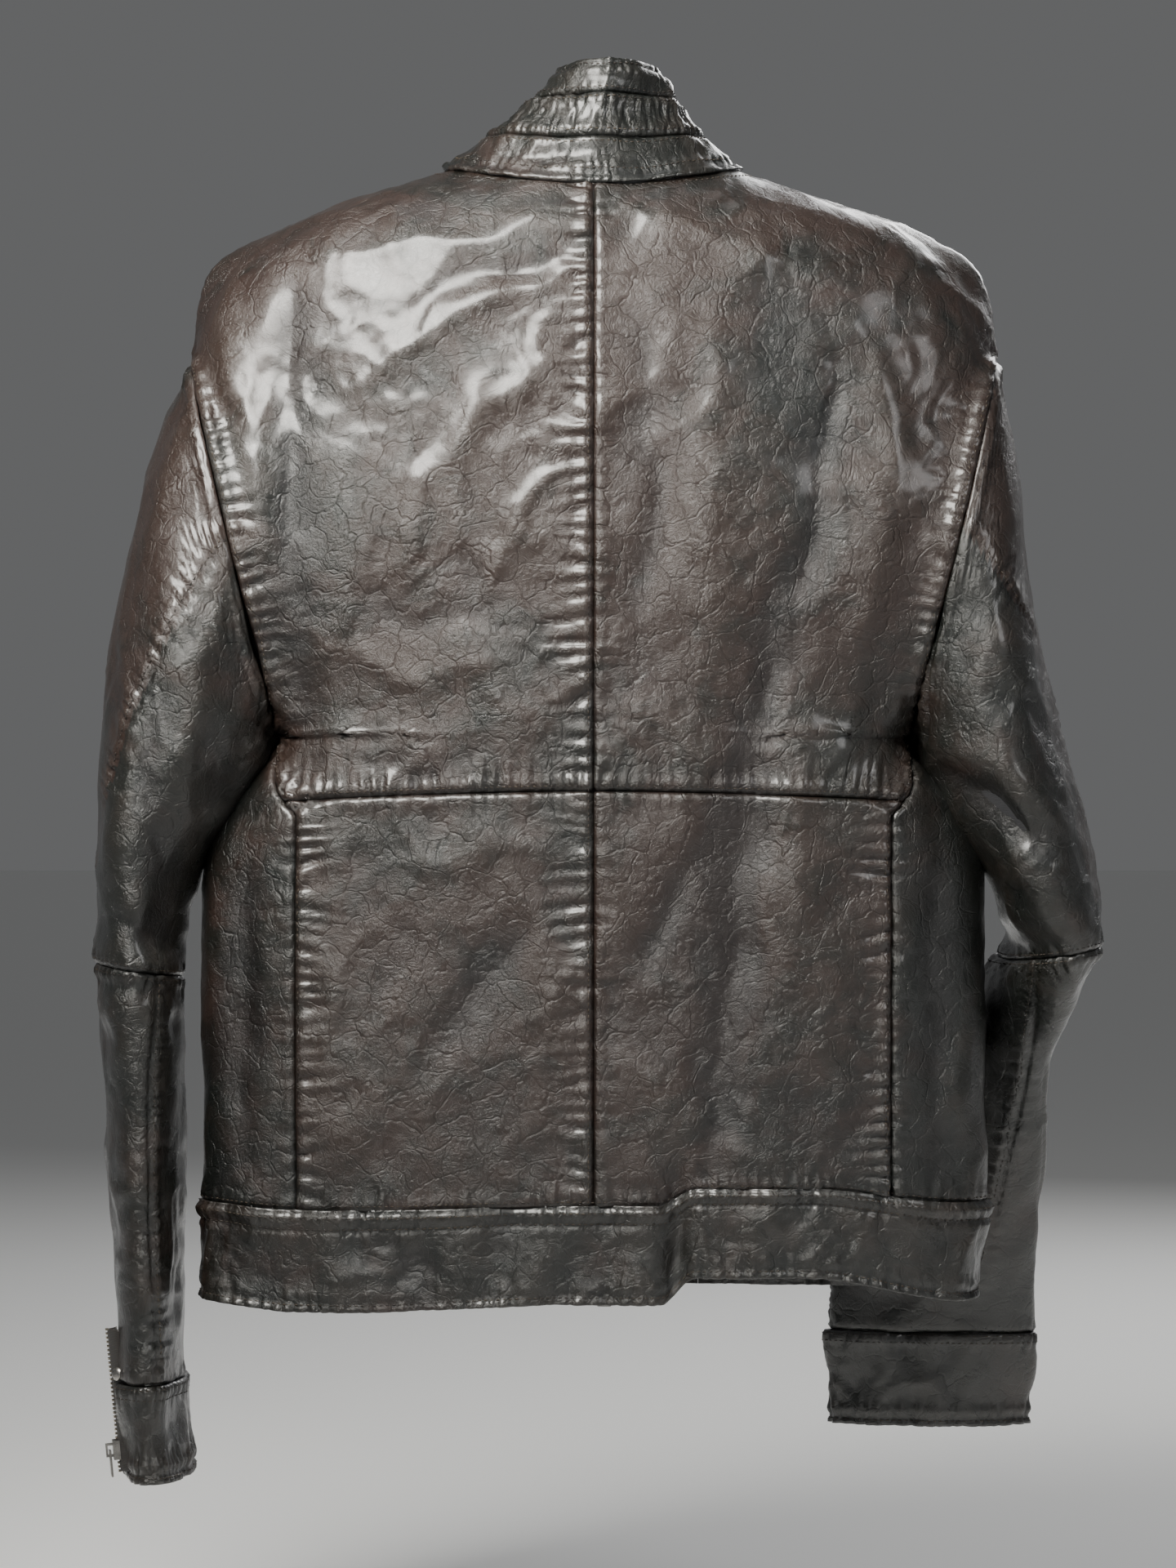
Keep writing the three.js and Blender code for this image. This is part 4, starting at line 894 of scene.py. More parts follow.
NICKEL = old_metal("aged_nickel", (0.50, 0.48, 0.45), 0.22, 0.45)
TEETH_METAL = old_metal("dark_zip_metal", (0.30, 0.27, 0.22), 0.28, 0.5)
THREAD = sewing_thread("brown_thread", (0.018, 0.013, 0.011), (0.060, 0.044, 0.028))
zip_parts = [made for made in frame["nodes"] if "slider" in made or "pull" in made]
for made in zip_parts:
    for slot in bpy.data.objects[made].material_slots:
        slot.material = NICKEL
print("metal set on", len(zip_parts), "zip parts")

# %% [markdown]
# ## The body's panels
# The back is four panels, cut above and below the seam that crosses it, with a side panel on either side.
# Rows lie closer together over the shoulders, where the surface runs almost level.


# %% Grids on the body surface
ROUND_LENGTH = 260  # about how long one unit of the way round is
SMOOTHING = 1800


def body_grid(start, end, top, bottom, step, inset=0.0):
    """start and end give how far round the edges are at a level, top and bottom the levels at a column."""
    depths = [0.0]
    while depths[-1] < BODY_LENGTH:
        depths.append(depths[-1] + step * (0.42 + 0.58 * float(ease(depths[-1], 12, 70))))
    depths = np.array(depths)
    low, high = float(np.min(bottom(np.array([0.5])))), float(np.max(top(np.array([0.5]))))
    inner = NECK_LEVEL - depths
    inner = inner[(inner < high - step * 0.4) & (inner > low + step * 0.4)]
    level = np.concatenate([[high], inner, [low]])
    v = ((high - level) / (high - low))[:, None]
    wide = np.abs(end(level) - start(level)).max() * ROUND_LENGTH
    u = np.linspace(0, 1, max(6, int(wide / step)))[None, :]
    around = lerp(start(level)[:, None], end(level)[:, None], u)
    levels = lerp(top(around), bottom(around), v)
    around = lerp(start(levels.ravel()).reshape(levels.shape), end(levels.ravel()).reshape(levels.shape), u)
    grid = body_points(around, levels, inset)
    # the rings change shape at once at the ends of the armhole; leather passes over that in one soft curve
    soft = grid.copy()
    for _ in range(int(SMOOTHING / step ** 2)):
        soft[1:-1] = 0.5 * soft[1:-1] + 0.25 * (soft[:-2] + soft[2:])
    near_edge = 1 - ease(np.abs(np.abs(around) - 1), 0.0, 0.09)
    beside_seam = ease(np.abs(u - 0.5), 0.2, 0.5) * ease(ARMHOLE_BOTTOM + 14 - levels, 0, 14)
    near_edge = np.maximum(near_edge, beside_seam)
    grid[..., 1] = lerp(soft[..., 1], grid[..., 1], near_edge)
    above = ease(levels, ARMHOLE_BOTTOM + 10, ARMHOLE_BOTTOM + 70) * (1 - near_edge)
    grid[..., 0] = lerp(grid[..., 0], soft[..., 0], above)
    return grid


def constant(value):
    return lambda around: np.full(np.shape(around), float(value))


def box_of(made):
    """The lowest and highest corner of one of the frame's solids, in millimetres."""
    return (np.array(v) * 1000 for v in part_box(made))


POCKET_LOW, POCKET_HIGH = box_of("pocket_zip_left_chain")
ZIP_SEAT = -1.8


def pocket_seat(p):
    """1 under a pocket zip, where its tape holds the leather flat, and 0 away from it."""
    across = (np.abs(p[:, 0]) - (POCKET_LOW[0] + POCKET_HIGH[0]) / 2) / 13
    above = ease(p[:, 2], POCKET_LOW[2] - 22, POCKET_LOW[2] - 6)
    below = 1 - ease(p[:, 2], POCKET_HIGH[2] + 6, POCKET_HIGH[2] + 22)
    return np.exp(-across ** 4) * above * below * (p[:, 1] < -30)


def body_relief(names, folds=1.0, creases=1.0):
    chosen = [s for key, s in body_seams.items() if any(key.startswith(n) for n in names)]

    def relief(p, n):
        total = crumple(p, creases) + folds * large_folds(p, n, BACK_FOLDS)
        for seam in chosen:
            total = total + seam.relief(p, n)
        return lerp(total, ZIP_SEAT, pocket_seat(p))
    return relief


def on_side(line, sign):
    return lambda level: sign * line(level)


# %% Back, side and front panels
STEP = 2.3
SLIT = 0.0006
BAND_TOP = constant(BAND_SEAM + 0.1)


def body_panel(name, edges, levels, step, seams, group, solid, material, **settings):
    grid = body_grid(*edges, *levels, step)
    piece = make_sheet("body_" + name, grid, body_relief(seams, **settings), LEATHER)
    finish_sheet(piece, group, [solid], material)


for word, sign in SIDES:
    middle = on_side(constant(SLIT), sign)
    body_panel("back_upper_" + word, (middle, on_side(lambda v: side_back(v) - SLIT * 2, sign)),
               (constant(NECK_LEVEL), lambda a: mid_level(a) + 0.3), STEP,
               ["centre_back", "neck", "mid_back_" + word, "armhole_back_" + word, "shoulder_" + word,
                "side_back_" + word], "torso", "back_upper_" + word, BODY_LEATHER[word])
    body_panel("back_lower_" + word, (middle, on_side(lambda v: side_back(v) - SLIT, sign)),
               (lambda a: mid_level(a) - 0.3, BAND_TOP), STEP,
               ["centre_back", "hem_top", "mid_back_" + word, "side_back_" + word],
               "torso", "back_lower_" + word, BODY_LEATHER[word])
    body_panel("side_" + word,
               (on_side(lambda v: side_back(v) + SLIT, sign), on_side(constant(SIDE_FRONT - SLIT), sign)),
               (constant(ARMHOLE_BOTTOM - 0.6), BAND_TOP), STEP * 1.15,
               ["hem_top", "side_back_" + word, "side_front_" + word, "armhole_back_" + word],
               "torso", "side_panel_" + word, BODY_LEATHER["side"])
    body_panel("front_side_" + word,
               (on_side(lambda v: side_front(v) + SLIT * 2, sign),
                on_side(lambda v: fold_round(v) - SLIT, sign)),
               (constant(NECK_LEVEL), BAND_TOP), STEP * 1.3,
               ["hem_top", "neck", "side_front_" + word, "armhole_front_" + word, "front_fold_" + word,
                "shoulder_" + word], "torso", "front_side_" + word, BODY_LEATHER["front"], creases=0.8)
    body_panel("front_edge_" + word,
               (on_side(lambda v: fold_round(v) + SLIT, sign), on_side(edge_round, sign)),
               (constant(NECK_LEVEL), BAND_TOP), STEP * 1.1, ["hem_top", "neck", "front_fold_" + word],
               "front_" + word, "front_panel_" + word, BODY_LEATHER["front"], folds=0.5, creases=0.55)

# %% [markdown]
# ## Hem band
# The band is doubled leather, stitched twice along its top and once along its bottom. It stands a little
# proud of the body, and washing has cockled both of its edges.

# %% Hem band
BAND_LEATHER = 2.2  # folded double, and pressed
hem_ring = np.linspace(-1.96, 1.96, 360)
hem_bottom = Seam(body_points(hem_ring, HEM + 5.5), 1, 1.8, 14, 0.8, 8, groove=0.9, welt=0.8, seed=41)
hem_piping = Seam(body_points(hem_ring, BAND_SEAM - 9.5), -1, 1.5, 7, 1.0, 5.5, groove=1.1, welt=0.5, seed=43)


def band_relief(p, n):
    level = p[:, 2]
    bead = 1.7 * np.exp(-((level - (BAND_SEAM - 2.6)) / 2.4) ** 2)
    seams = body_seams["hem_top"].relief(p, n) + hem_bottom.relief(p, n) + hem_piping.relief(p, n)
    wave = 4.2 * noise(np.stack([p[:, 0] / 26, p[:, 1] / 26, level / 48], axis=1) + 91)
    return 1.2 + bead + crumple(p * 1.2, 1.75, 4.0) + large_folds(p, n, BACK_FOLDS) + seams + wave


band_levels = (constant(BAND_SEAM + 1.5), constant(HEM))
back_band = body_grid(lambda v: -fold_round(v), fold_round, *band_levels, STEP * 0.85)
piece = make_sheet("hem_band_back_leather", back_band, band_relief, BAND_LEATHER)
finish_sheet(piece, "torso", ["hem_band_back"], TRIM_LEATHER)
for word, sign in SIDES:
    short_band = body_grid(on_side(lambda v: fold_round(v) + SLIT, sign), on_side(edge_round, sign),
                           *band_levels, STEP * 0.85)
    piece = make_sheet("hem_band_front_leather_" + word, short_band, band_relief, BAND_LEATHER)
    finish_sheet(piece, "front_" + word, ["hem_band_front_" + word], TRIM_LEATHER)

# %% [markdown]
# ## Collar
# Three tiers: a crumpled stand, a band that is stitched along both edges and puckered all over, and a top
# that has folded and creased from being gripped. The two front wings swing with the fronts.

# %% Collar tiers and wings
WING = float(fold_round([NECK_LEVEL])[0])
WING_END = float(edge_round([NECK_LEVEL])[0])


def collar_grid(low, high, start, end, step):
    columns = max(12, int(abs(end - start) * 110 / step))
    rows = max(5, int((high - low) / step))
    around, above = np.meshgrid(np.linspace(start, end, columns), np.linspace(high, low, rows))
    return collar_points(around, above)


collar_ring = np.linspace(-1.9, 1.9, 200)
collar_seams = [Seam(collar_points(collar_ring, above), *style, seed=seed) for above, style, seed in (
    (0.5, (-1, 0.7, 8, 1, 7), 51), (23, (-1, 0.8, 10, 0.5, 6), 52), (49, (1, 0.8, 9, 0.5, 6), 53),
    (66, (1, 0.7, 6, 1, 8), 54))]
# how far each kind of piece stands out, and how crumpled it is
COLLAR_KINDS = {"stand": (0.2, 1.15), "band": (1.0, 0.7), "top": (0.3, 1.3), "wing": (0.6, 1.0)}


def collar_relief(kind):
    def relief(p, n):
        proud, crumpled = COLLAR_KINDS[kind]
        total = proud + crumple(p * 1.25, crumpled, 8.0)
        if kind == "band":
            up = np.stack([p[:, 0] / 4.6, p[:, 1] / 4.6, p[:, 2] / 30], axis=1)
            total = total + 1.3 * (0.5 - np.abs(noise(up + 2)) * 1.6)
        if kind in ("stand", "top"):
            total = total + 2.0 * noise(p / [24, 24, 13] + 5)
        for seam in collar_seams:
            total = total + seam.relief(p, n)
        return total
    return relief


for kind, low, high in (("stand", -4.5, 22.8), ("band", 23.2, 48.8), ("top", 49.2, 69)):
    grid = collar_grid(low, high, -WING + 0.006, WING - 0.006, STEP * 0.62)
    piece = make_sheet(f"collar_{kind}_leather", grid, collar_relief(kind), BAND_LEATHER, settled=False)
    finish_sheet(piece, "torso", ["collar_" + kind], COLLAR_LEATHER)
for word, sign in SIDES:
    grid = collar_grid(0, 69, sign * (WING + 0.006), sign * WING_END, STEP * 0.7)
    piece = make_sheet("collar_wing_leather_" + word, grid, collar_relief("wing"), BAND_LEATHER,
                       settled=False)
    finish_sheet(piece, "front_" + word, ["collar_wing_" + word], COLLAR_LEATHER)

# %% [markdown]
# ## Sleeves
# The upper sleeve runs from the armhole to the elbow seam, the forearm from there to the cuff. Their seams
# are drawn as they are seen from behind and dropped onto the sleeve's surface.


# %% Drop a line drawn from behind onto a grid
def surface_tree(grid):
    quads = grid_quads(*grid.shape[:2], True)
    return BVHTree.FromPolygons(grid.reshape(-1, 3).tolist(), quads.tolist())


def dropped(tree, drawn):
    drawn = np.asarray(drawn, float)
    run = np.concatenate([[0], np.cumsum(np.hypot(*np.diff(drawn, axis=0).T))])
    wanted = np.linspace(0, run[-1], max(8, int(run[-1] / 5)))
    x, z = (through(np.stack([run, drawn[:, column]], axis=1), wanted) for column in (0, 1))
    hits = []
    for px, pz in zip(x, z):
        hit = tree.ray_cast(Vector((px, 400, pz)), Vector((0, -1, 0)))[0]
        if hit is not None:
            hits.append(tuple(hit))
    return np.array(hits)


# %% Sleeve grids, seams and pieces
ELBOW, ELBOW_LEVEL = 6.0, -452  # its section, and its height
DRAWN = {
    "left": {"panel": [(208, -212), (226, -240), (246, -277), (262, -312), (272, -345)],
             "long": [(250, -462), (253, -520), (253, -600), (250, -680)]},
    "right": {"panel": [(-209, -205), (-222, -222), (-238, -245), (-247, -258)],
              "under": [(-208, -206), (-200, -240), (-192, -290), (-191, -322)],
              "long": [(-256, -452), (-252, -520), (-240, -590), (-231, -642)]},
}
SLEEVE_SEAMS = {}


def sleeve_grid(word, start, end, step, inset=0.0):
    around = np.linspace(0, 1, int(300 / step), endpoint=False)[None, :]
    at = np.linspace(start, end, 60)
    steps = np.linalg.norm(np.diff(sleeve_points(word, 0.0, at), axis=0), axis=1)
    run = np.concatenate([[0], np.cumsum(steps)])
    at = np.interp(np.linspace(0, run[-1], max(6, int(run[-1] / step))), run, at)[:, None]
    grid = sleeve_points(word, around, at)
    if inset:
        normals = grid_normals(grid, ring=True)
        if (normals * (grid - grid.mean(axis=1, keepdims=True))).sum() < 0:
            normals = -normals
        grid = grid - normals * inset
    return grid


def sleeve_relief(seams):
    def relief(p, n):
        rings = 1.6 * noise(np.stack([p[:, 0] / 60, p[:, 1] / 60, p[:, 2] / 19], axis=1) + 41)
        elbow = np.exp(-((p[:, 2] - ELBOW_LEVEL) / 55) ** 2)
        total = crumple(p, 1.1) + large_folds(p, n, SLEEVE_FOLDS) + rings * (0.35 + 1.2 * elbow)
        for seam in seams:
            total = total + seam.relief(p, n)
        return total
    return relief


def outer_panel(word, sign, grid):
    """Which faces of the upper sleeve are the redder outer panel: above the drawn seam, or to the front."""
    columns = grid.shape[1]
    beside_it = np.roll(grid, -1, axis=1)
    middle = (grid[:-1] + grid[1:] + beside_it[:-1] + beside_it[1:]) / 4
    around = (np.arange(columns) + 0.5) / columns
    around = np.where(around > 0.5, around - 1, around)[None, :] * sign
    out, down = np.abs(np.array(DRAWN[word]["panel"], float)).T
    line = -np.interp(np.abs(middle[..., 0]), [*out, out[-1] + 40], [*down, down[-1] + 160])
    return np.where(around > 0, around < 0.27, middle[..., 2] > line)


def ring_line(word, at, count=120):
    return sleeve_points(word, np.linspace(0, 1, count), at)


for word, sign in SIDES:
    top = sleeve_grid(word, 0.012, ELBOW - 0.004, STEP * 1.05)
    low = sleeve_grid(word, ELBOW + 0.004, CUFF_TOP[word] - 0.006, STEP * 1.05)
    tops, lows = surface_tree(top), surface_tree(low)
    seams = {
        "head": Seam(ring_line(word, 0.012), 1, 1.5, 15, 1, 8, groove=0.3, welt=1.5, seed=61 + sign),
        "panel": Seam(dropped(tops, DRAWN[word]["panel"]), -sign, 1.6, 15, 0.5, 8, welt=1.2, seed=64 + sign),
        "elbow": Seam(ring_line(word, ELBOW), 1, 1.5, 12, 0.9, 8, groove=0.5, welt=1.3, seed=67 + sign),
        "long": Seam(dropped(lows, DRAWN[word]["long"]), sign, 1.6, 13, 0.8, 7.5, welt=1.2, seed=70 + sign),
        "cuff": Seam(ring_line(word, CUFF_TOP[word]), 1, 1.3, 11, 0.9, 7, groove=0.5, seed=73 + sign),
        "edge": Seam(sleeve_points(word, 0.02 * sign, np.linspace(station_at(word, -345), ELBOW - 0.05, 60)),
                     sign, 1.3, 10, 0.6, 9, seed=84 + sign),
        "inner_top": Seam(sleeve_points(word, 0.27 * sign, np.linspace(0.3, ELBOW - 0.05, 80)), sign, 1.1, 9,
                          0.6, 9, seed=76 + sign),
        "inner_low": Seam(sleeve_points(word, 0.27 * sign, np.linspace(ELBOW + 0.05, CUFF_TOP[word], 60)),
                          sign, 1.1, 9, 0.6, 9, seed=79 + sign),
    }
    if "under" in DRAWN[word]:
        seams["under"] = Seam(dropped(tops, DRAWN[word]["under"]), sign, 1.3, 10, 0.5, 8, seed=82)
    SLEEVE_SEAMS[word] = seams
    upper_seams = [seams[k] for k in ("head", "panel", "elbow", "edge", "inner_top", "under") if k in seams]
    piece = make_sheet("upper_sleeve_leather_" + word, top, sleeve_relief(upper_seams), LEATHER,
                       ring=True, settled=False)
    piece.data.materials.append(OUTER_SLEEVE)
    panels = np.where(outer_panel(word, sign, top), 0, 1).ravel()
    indices = np.zeros(len(piece.data.polygons), dtype=np.int32)
    indices[:len(panels)], indices[len(panels):2 * len(panels)] = panels, panels
    piece.data.polygons.foreach_set("material_index", indices)
    finish_sheet(piece, "sleeve_" + word, [f"sleeve_head_{word}", f"upper_sleeve_outer_{word}",
                                           f"upper_sleeve_under_{word}"], UNDER_SLEEVE)
    lower_seams = [seams[k] for k in ("elbow", "long", "cuff", "inner_low")]
    piece = make_sheet("forearm_leather_" + word, low, sleeve_relief(lower_seams), LEATHER,
                       ring=True, settled=False)
    finish_sheet(piece, "forearm_" + word, [f"elbow_panel_{word}", f"forearm_outer_{word}",
                                            f"forearm_under_{word}"], UNDER_SLEEVE)
    cuff = sleeve_grid(word, CUFF_TOP[word] + 0.006, CUFF_EDGE, STEP * 0.7)
    cuff_edge = Seam(ring_line(word, CUFF_EDGE - 0.11), -1, 1.7, 13, 1, 7, groove=0.9, welt=0.9,
                     seed=85 + sign)

    def cuff_relief(p, n, both=(seams["cuff"], cuff_edge), sign=sign):
        wave = 3.4 * noise(np.stack([p[:, 0] / 23, p[:, 1] / 23, p[:, 2] / 46], axis=1) + 33 + sign)
        return 1.6 + crumple(p * 1.2, 1.5, 6.0 + sign) + wave + both[0].relief(p, n) + both[1].relief(p, n)

    piece = make_sheet("cuff_leather_" + word, cuff, cuff_relief, BAND_LEATHER, ring=True, settled=False)
    piece.data.materials.append(TRIM_LEATHER)
    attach(piece, "forearm_" + word)
    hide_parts("cuff_" + word)
    LEATHER_PIECES.setdefault("cuff_" + word, []).append(piece)

# %% [markdown]
# ## Linings, facings, pocket bags and the hanging loop
# The lining follows the leather's large folds a few millimetres inside, and has soft wrinkles of its own.


# %% Pieces inside the shell
def soft_relief(folds, wrinkle, drop=0.0):
    def relief(p, n):
        return folds * large_folds(p, n, BACK_FOLDS) + wrinkle * noise(p / [30, 30, 48] + 19) - drop
    return relief


LINING_STEP = 5.0
BAG_INSET, BAG_CLOTH = LINING_INSET + 3.4, 2.0
lining_levels = (constant(NECK_LEVEL - 6), constant(BAND_SEAM))
lining = body_grid(constant(-0.97), constant(0.97), *lining_levels, LINING_STEP, LINING_INSET)
piece = make_sheet("body_lining_back", lining, soft_relief(0.9, 0.8, 0.6), LINING)
finish_sheet(piece, "torso", ["back_lining"], LINING_CLOTH)
for word, sign in SIDES:
    grid = body_grid(on_side(constant(1.07), sign), on_side(lambda v: fold_round(v) - 0.012, sign),
                     *lining_levels, LINING_STEP, LINING_INSET)
    piece = make_sheet("body_lining_front_" + word, grid, soft_relief(0.9, 0.8, 0.6), LINING)
    finish_sheet(piece, "torso", ["front_lining_" + word], LINING_CLOTH)
    facing_edges = (on_side(lambda v: fold_round(v) + 0.012, sign),
                    on_side(lambda v: edge_round(v) - 0.012, sign))
    grid = body_grid(*facing_edges, constant(NECK_LEVEL - 4), constant(HEM + 6), 3.5, LINING_INSET)
    piece = make_sheet("body_facing_" + word, grid, soft_relief(0.4, 0.5, 0.2), LEATHER)
    finish_sheet(piece, "front_" + word, ["front_facing_" + word], FACING_LEATHER)
    low_corner, high_corner = box_of("pocket_bag_" + word)
    near, far = sorted((abs(low_corner[0]), abs(high_corner[0])))
    grid = body_grid(lambda v: sign * (2 - share_at_x(v, False, far - 2)),
                     lambda v: sign * (2 - share_at_x(v, False, near + 2)),
                     constant(high_corner[2]), constant(low_corner[2]), 4.5, BAG_INSET)
    piece = make_sheet("body_pocket_bag_" + word, grid, soft_relief(0.6, 0.5, 0.2), BAG_CLOTH)
    finish_sheet(piece, "torso", ["pocket_bag_" + word], LINING_CLOTH)
    for part, start, end, group in (("upper_sleeve", 2.03, 4.57, "sleeve_"),
                                    ("forearm", 6.93, CUFF_TOP[word] - 0.03, "forearm_")):
        grid = sleeve_grid(word, start, end, 4.5, inset=4.6)
        piece = make_sheet(f"{part}_lining_cloth_{word}", grid, soft_relief(0.0, 0.5, 0.4), LINING, ring=True,
                           settled=False)
        finish_sheet(piece, group + word, [f"{part}_lining_{word}"], LINING_CLOTH)

# %% Hanging loop
span = np.linspace(-1, 1, 60)
loop_low, loop_high = box_of("hang_loop")
loop_half = (loop_high[0] - loop_low[0]) / 2
bow = 1 - span ** 2
loop_top = loop_high[2] - 9 * bow
loop_grid = np.stack([np.stack([loop_half * span, loop_high[1] - 0.8 - 3 * bow, loop_top - down], axis=1)
                      for down in np.linspace(0, 8, 9)])
piece = make_sheet("body_hang_loop", loop_grid[:, ::-1], lambda p, n: 0.25 * noise(p / 6), 1.5,
                   settled=False)
finish_sheet(piece, "torso", ["hang_loop"], FACING_LEATHER)

# %% [markdown]
# ## Stitches
# The rows of stitches show on every panel. Each row is a line of points laid on the finished relief, and one
# Geometry Nodes tree turns all rows of a piece into single stitches: it spaces points along each row, puts a
# small rounded thread at each one, turned along the row and standing on the leather, and makes them real.


# %% The stitch tree
def geometry_tree(name, inputs):
    tree = bpy.data.node_groups.new(name, "GeometryNodeTree")
    for label, kind, default in inputs:
        socket = tree.interface.new_socket(name=label, in_out="INPUT", socket_type=kind)
        if default is not None:
            socket.default_value = default
    tree.interface.new_socket(name="Geometry", in_out="OUTPUT", socket_type="NodeSocketGeometry")
    return tree, tree.nodes.new("NodeGroupInput"), tree.nodes.new("NodeGroupOutput")


def along_rows(name):
    """Copies of a small body along every row, turned to the row and to the surface's `up`."""
    tree, given, result = geometry_tree(name, [
        ("Geometry", "NodeSocketGeometry", None), ("Spacing", "NodeSocketFloat", 0.0036),
        ("Length", "NodeSocketFloat", 0.0026), ("Width", "NodeSocketFloat", 0.0008),
        ("Height", "NodeSocketFloat", 0.0007), ("Unevenness", "NodeSocketFloat", 0.15),
        ("Seed", "NodeSocketInt", 4), ("Finish", "NodeSocketMaterial", None)])
    ins = given.outputs
    rows = node(tree, "GeometryNodeMeshToCurve", {0: ins["Geometry"]})
    spaced = node(tree, "GeometryNodeResampleCurve", {"Curve": rows.outputs[0], "Length": ins["Spacing"]},
                  mode="LENGTH")
    up = node(tree, "GeometryNodeInputNamedAttribute", {"Name": "up"}, data_type="FLOAT_VECTOR")
    tangent = node(tree, "GeometryNodeInputTangent")
    standing = node(tree, "FunctionNodeAlignRotationToVector", {"Vector": up.outputs[0]}, axis="Z")
    turned = node(tree, "FunctionNodeAlignRotationToVector",
                  {"Rotation": standing.outputs[0], "Vector": tangent.outputs[0]}, axis="X", pivot_axis="Z")
    lowest = node(tree, "ShaderNodeMath", {0: 1.0, 1: ins["Unevenness"]}, operation="SUBTRACT")
    vary = node(tree, "FunctionNodeRandomValue", {2: lowest.outputs[0], 3: 1.0, "Seed": ins["Seed"]},
                data_type="FLOAT")
    size = node(tree, "ShaderNodeCombineXYZ", {0: ins["Length"], 1: ins["Width"], 2: ins["Height"]})
    return tree, result, spaced, turned, size, vary, ins


def finish_tree(tree, result, spaced, turned, body, vary, ins, smooth):
    copies = node(tree, "GeometryNodeInstanceOnPoints",
                  {"Points": spaced.outputs[0], "Instance": body, "Rotation": turned.outputs[0],
                   "Scale": vary.outputs[1]})
    real = node(tree, "GeometryNodeRealizeInstances", {0: copies.outputs[0]})
    shaded = node(tree, "GeometryNodeSetShadeSmooth", {0: real.outputs[0], "Shade Smooth": smooth})
    painted = node(tree, "GeometryNodeSetMaterial",
                   {"Geometry": shaded.outputs[0], "Material": ins["Finish"]})
    tree.links.new(painted.outputs[0], result.inputs[0])
    return tree


def stitch_tree():
    tree, result, spaced, turned, size, vary, ins = along_rows("stitch_rows")
    thread = node(tree, "GeometryNodeMeshUVSphere", {"Segments": 6, "Rings": 4, "Radius": 0.5})
    shaped = node(tree, "GeometryNodeTransform", {"Geometry": thread.outputs[0], "Scale": size.outputs[0]})
    return finish_tree(tree, result, spaced, turned, shaped.outputs[0], vary, ins, True)


def teeth_tree():
    """A tooth is a block with a rounded head."""
    tree, result, spaced, turned, size, vary, ins = along_rows("zip_teeth")
    block = node(tree, "GeometryNodeMeshCube", {"Size": (0.5, 1.0, 0.8)})
    head = node(tree, "GeometryNodeMeshCylinder", {"Vertices": 8, "Radius": 0.3, "Depth": 1.0},
                fill_type="NGON")
    both = node(tree, "GeometryNodeJoinGeometry")
    for part in (head.outputs[0], block.outputs[0]):
        tree.links.new(part, both.inputs[0])
    shaped = node(tree, "GeometryNodeTransform", {"Geometry": both.outputs[0], "Scale": size.outputs[0]})
    return finish_tree(tree, result, spaced, turned, shaped.outputs[0], vary, ins, False)


STITCHES, TEETH = stitch_tree(), teeth_tree()


# %% Rows of points, and turning a tree's result into a plain mesh
def rows_object(name, rows):
    """rows is a list of (points, ups) in millimetres."""
    points = np.concatenate([p for p, _ in rows]) / 1000
    ups = np.concatenate([u for _, u in rows])
    edges, start = [], 0
    for p, _ in rows:
        edges += [(start + i, start + i + 1) for i in range(len(p) - 1)]
        start += len(p)
    mesh = bpy.data.meshes.new(name)
    mesh.from_pydata([tuple(v) for v in points], edges, [])
    mesh.attributes.new("up", "FLOAT_VECTOR", "POINT").data.foreach_set("vector", ups.ravel())
    return new_piece(name, mesh)


def grown(name, rows, tree, **values):
    source = rows_object(name + "_rows", rows)
    modifier = source.modifiers.new("rows", "NODES")
    modifier.node_group = tree
    for item in tree.interface.items_tree:
        if item.item_type == "SOCKET" and item.in_out == "INPUT" and item.name in values:
            modifier[item.identifier] = values[item.name]
    evaluated = source.evaluated_get(bpy.context.evaluated_depsgraph_get())
    mesh = bpy.data.meshes.new_from_object(evaluated)
    mesh.name = name
    source.modifiers.clear()
    bpy.data.objects.remove(source)
    print(f"{name}: {len(rows)} rows, {len(mesh.polygons)} faces")
    return new_piece(name, mesh)


# %% Where a row lies on the finished leather
def surface_of(group):
    points, faces, start = [], [], 0
    for piece in LEATHER_PIECES[group]:
        if any(word in piece.name for word in ("lining", "facing", "bag", "loop")):
            continue
        mesh = piece.data
        co = np.empty(len(mesh.vertices) * 3)
        mesh.vertices.foreach_get("co", co)
        loops = np.empty(len(mesh.loops), dtype=np.int32)
        mesh.loops.foreach_get("vertex_index", loops)
        points.append(co.reshape(-1, 3) * 1000)
        faces.append(loops.reshape(-1, 4) + start)
        start += len(mesh.vertices)
    return BVHTree.FromPolygons(np.concatenate(points).tolist(), np.concatenate(faces).tolist())


def beside(points, offset, outward):
    """A row beside a seam: offset millimetres to the left as one goes along it, seen from outside."""
    tangent = np.gradient(points, axis=0)
    sideways = np.cross(outward, tangent)
    sideways /= np.clip(np.linalg.norm(sideways, axis=1, keepdims=True), 1e-9, None)
    return points + sideways * offset


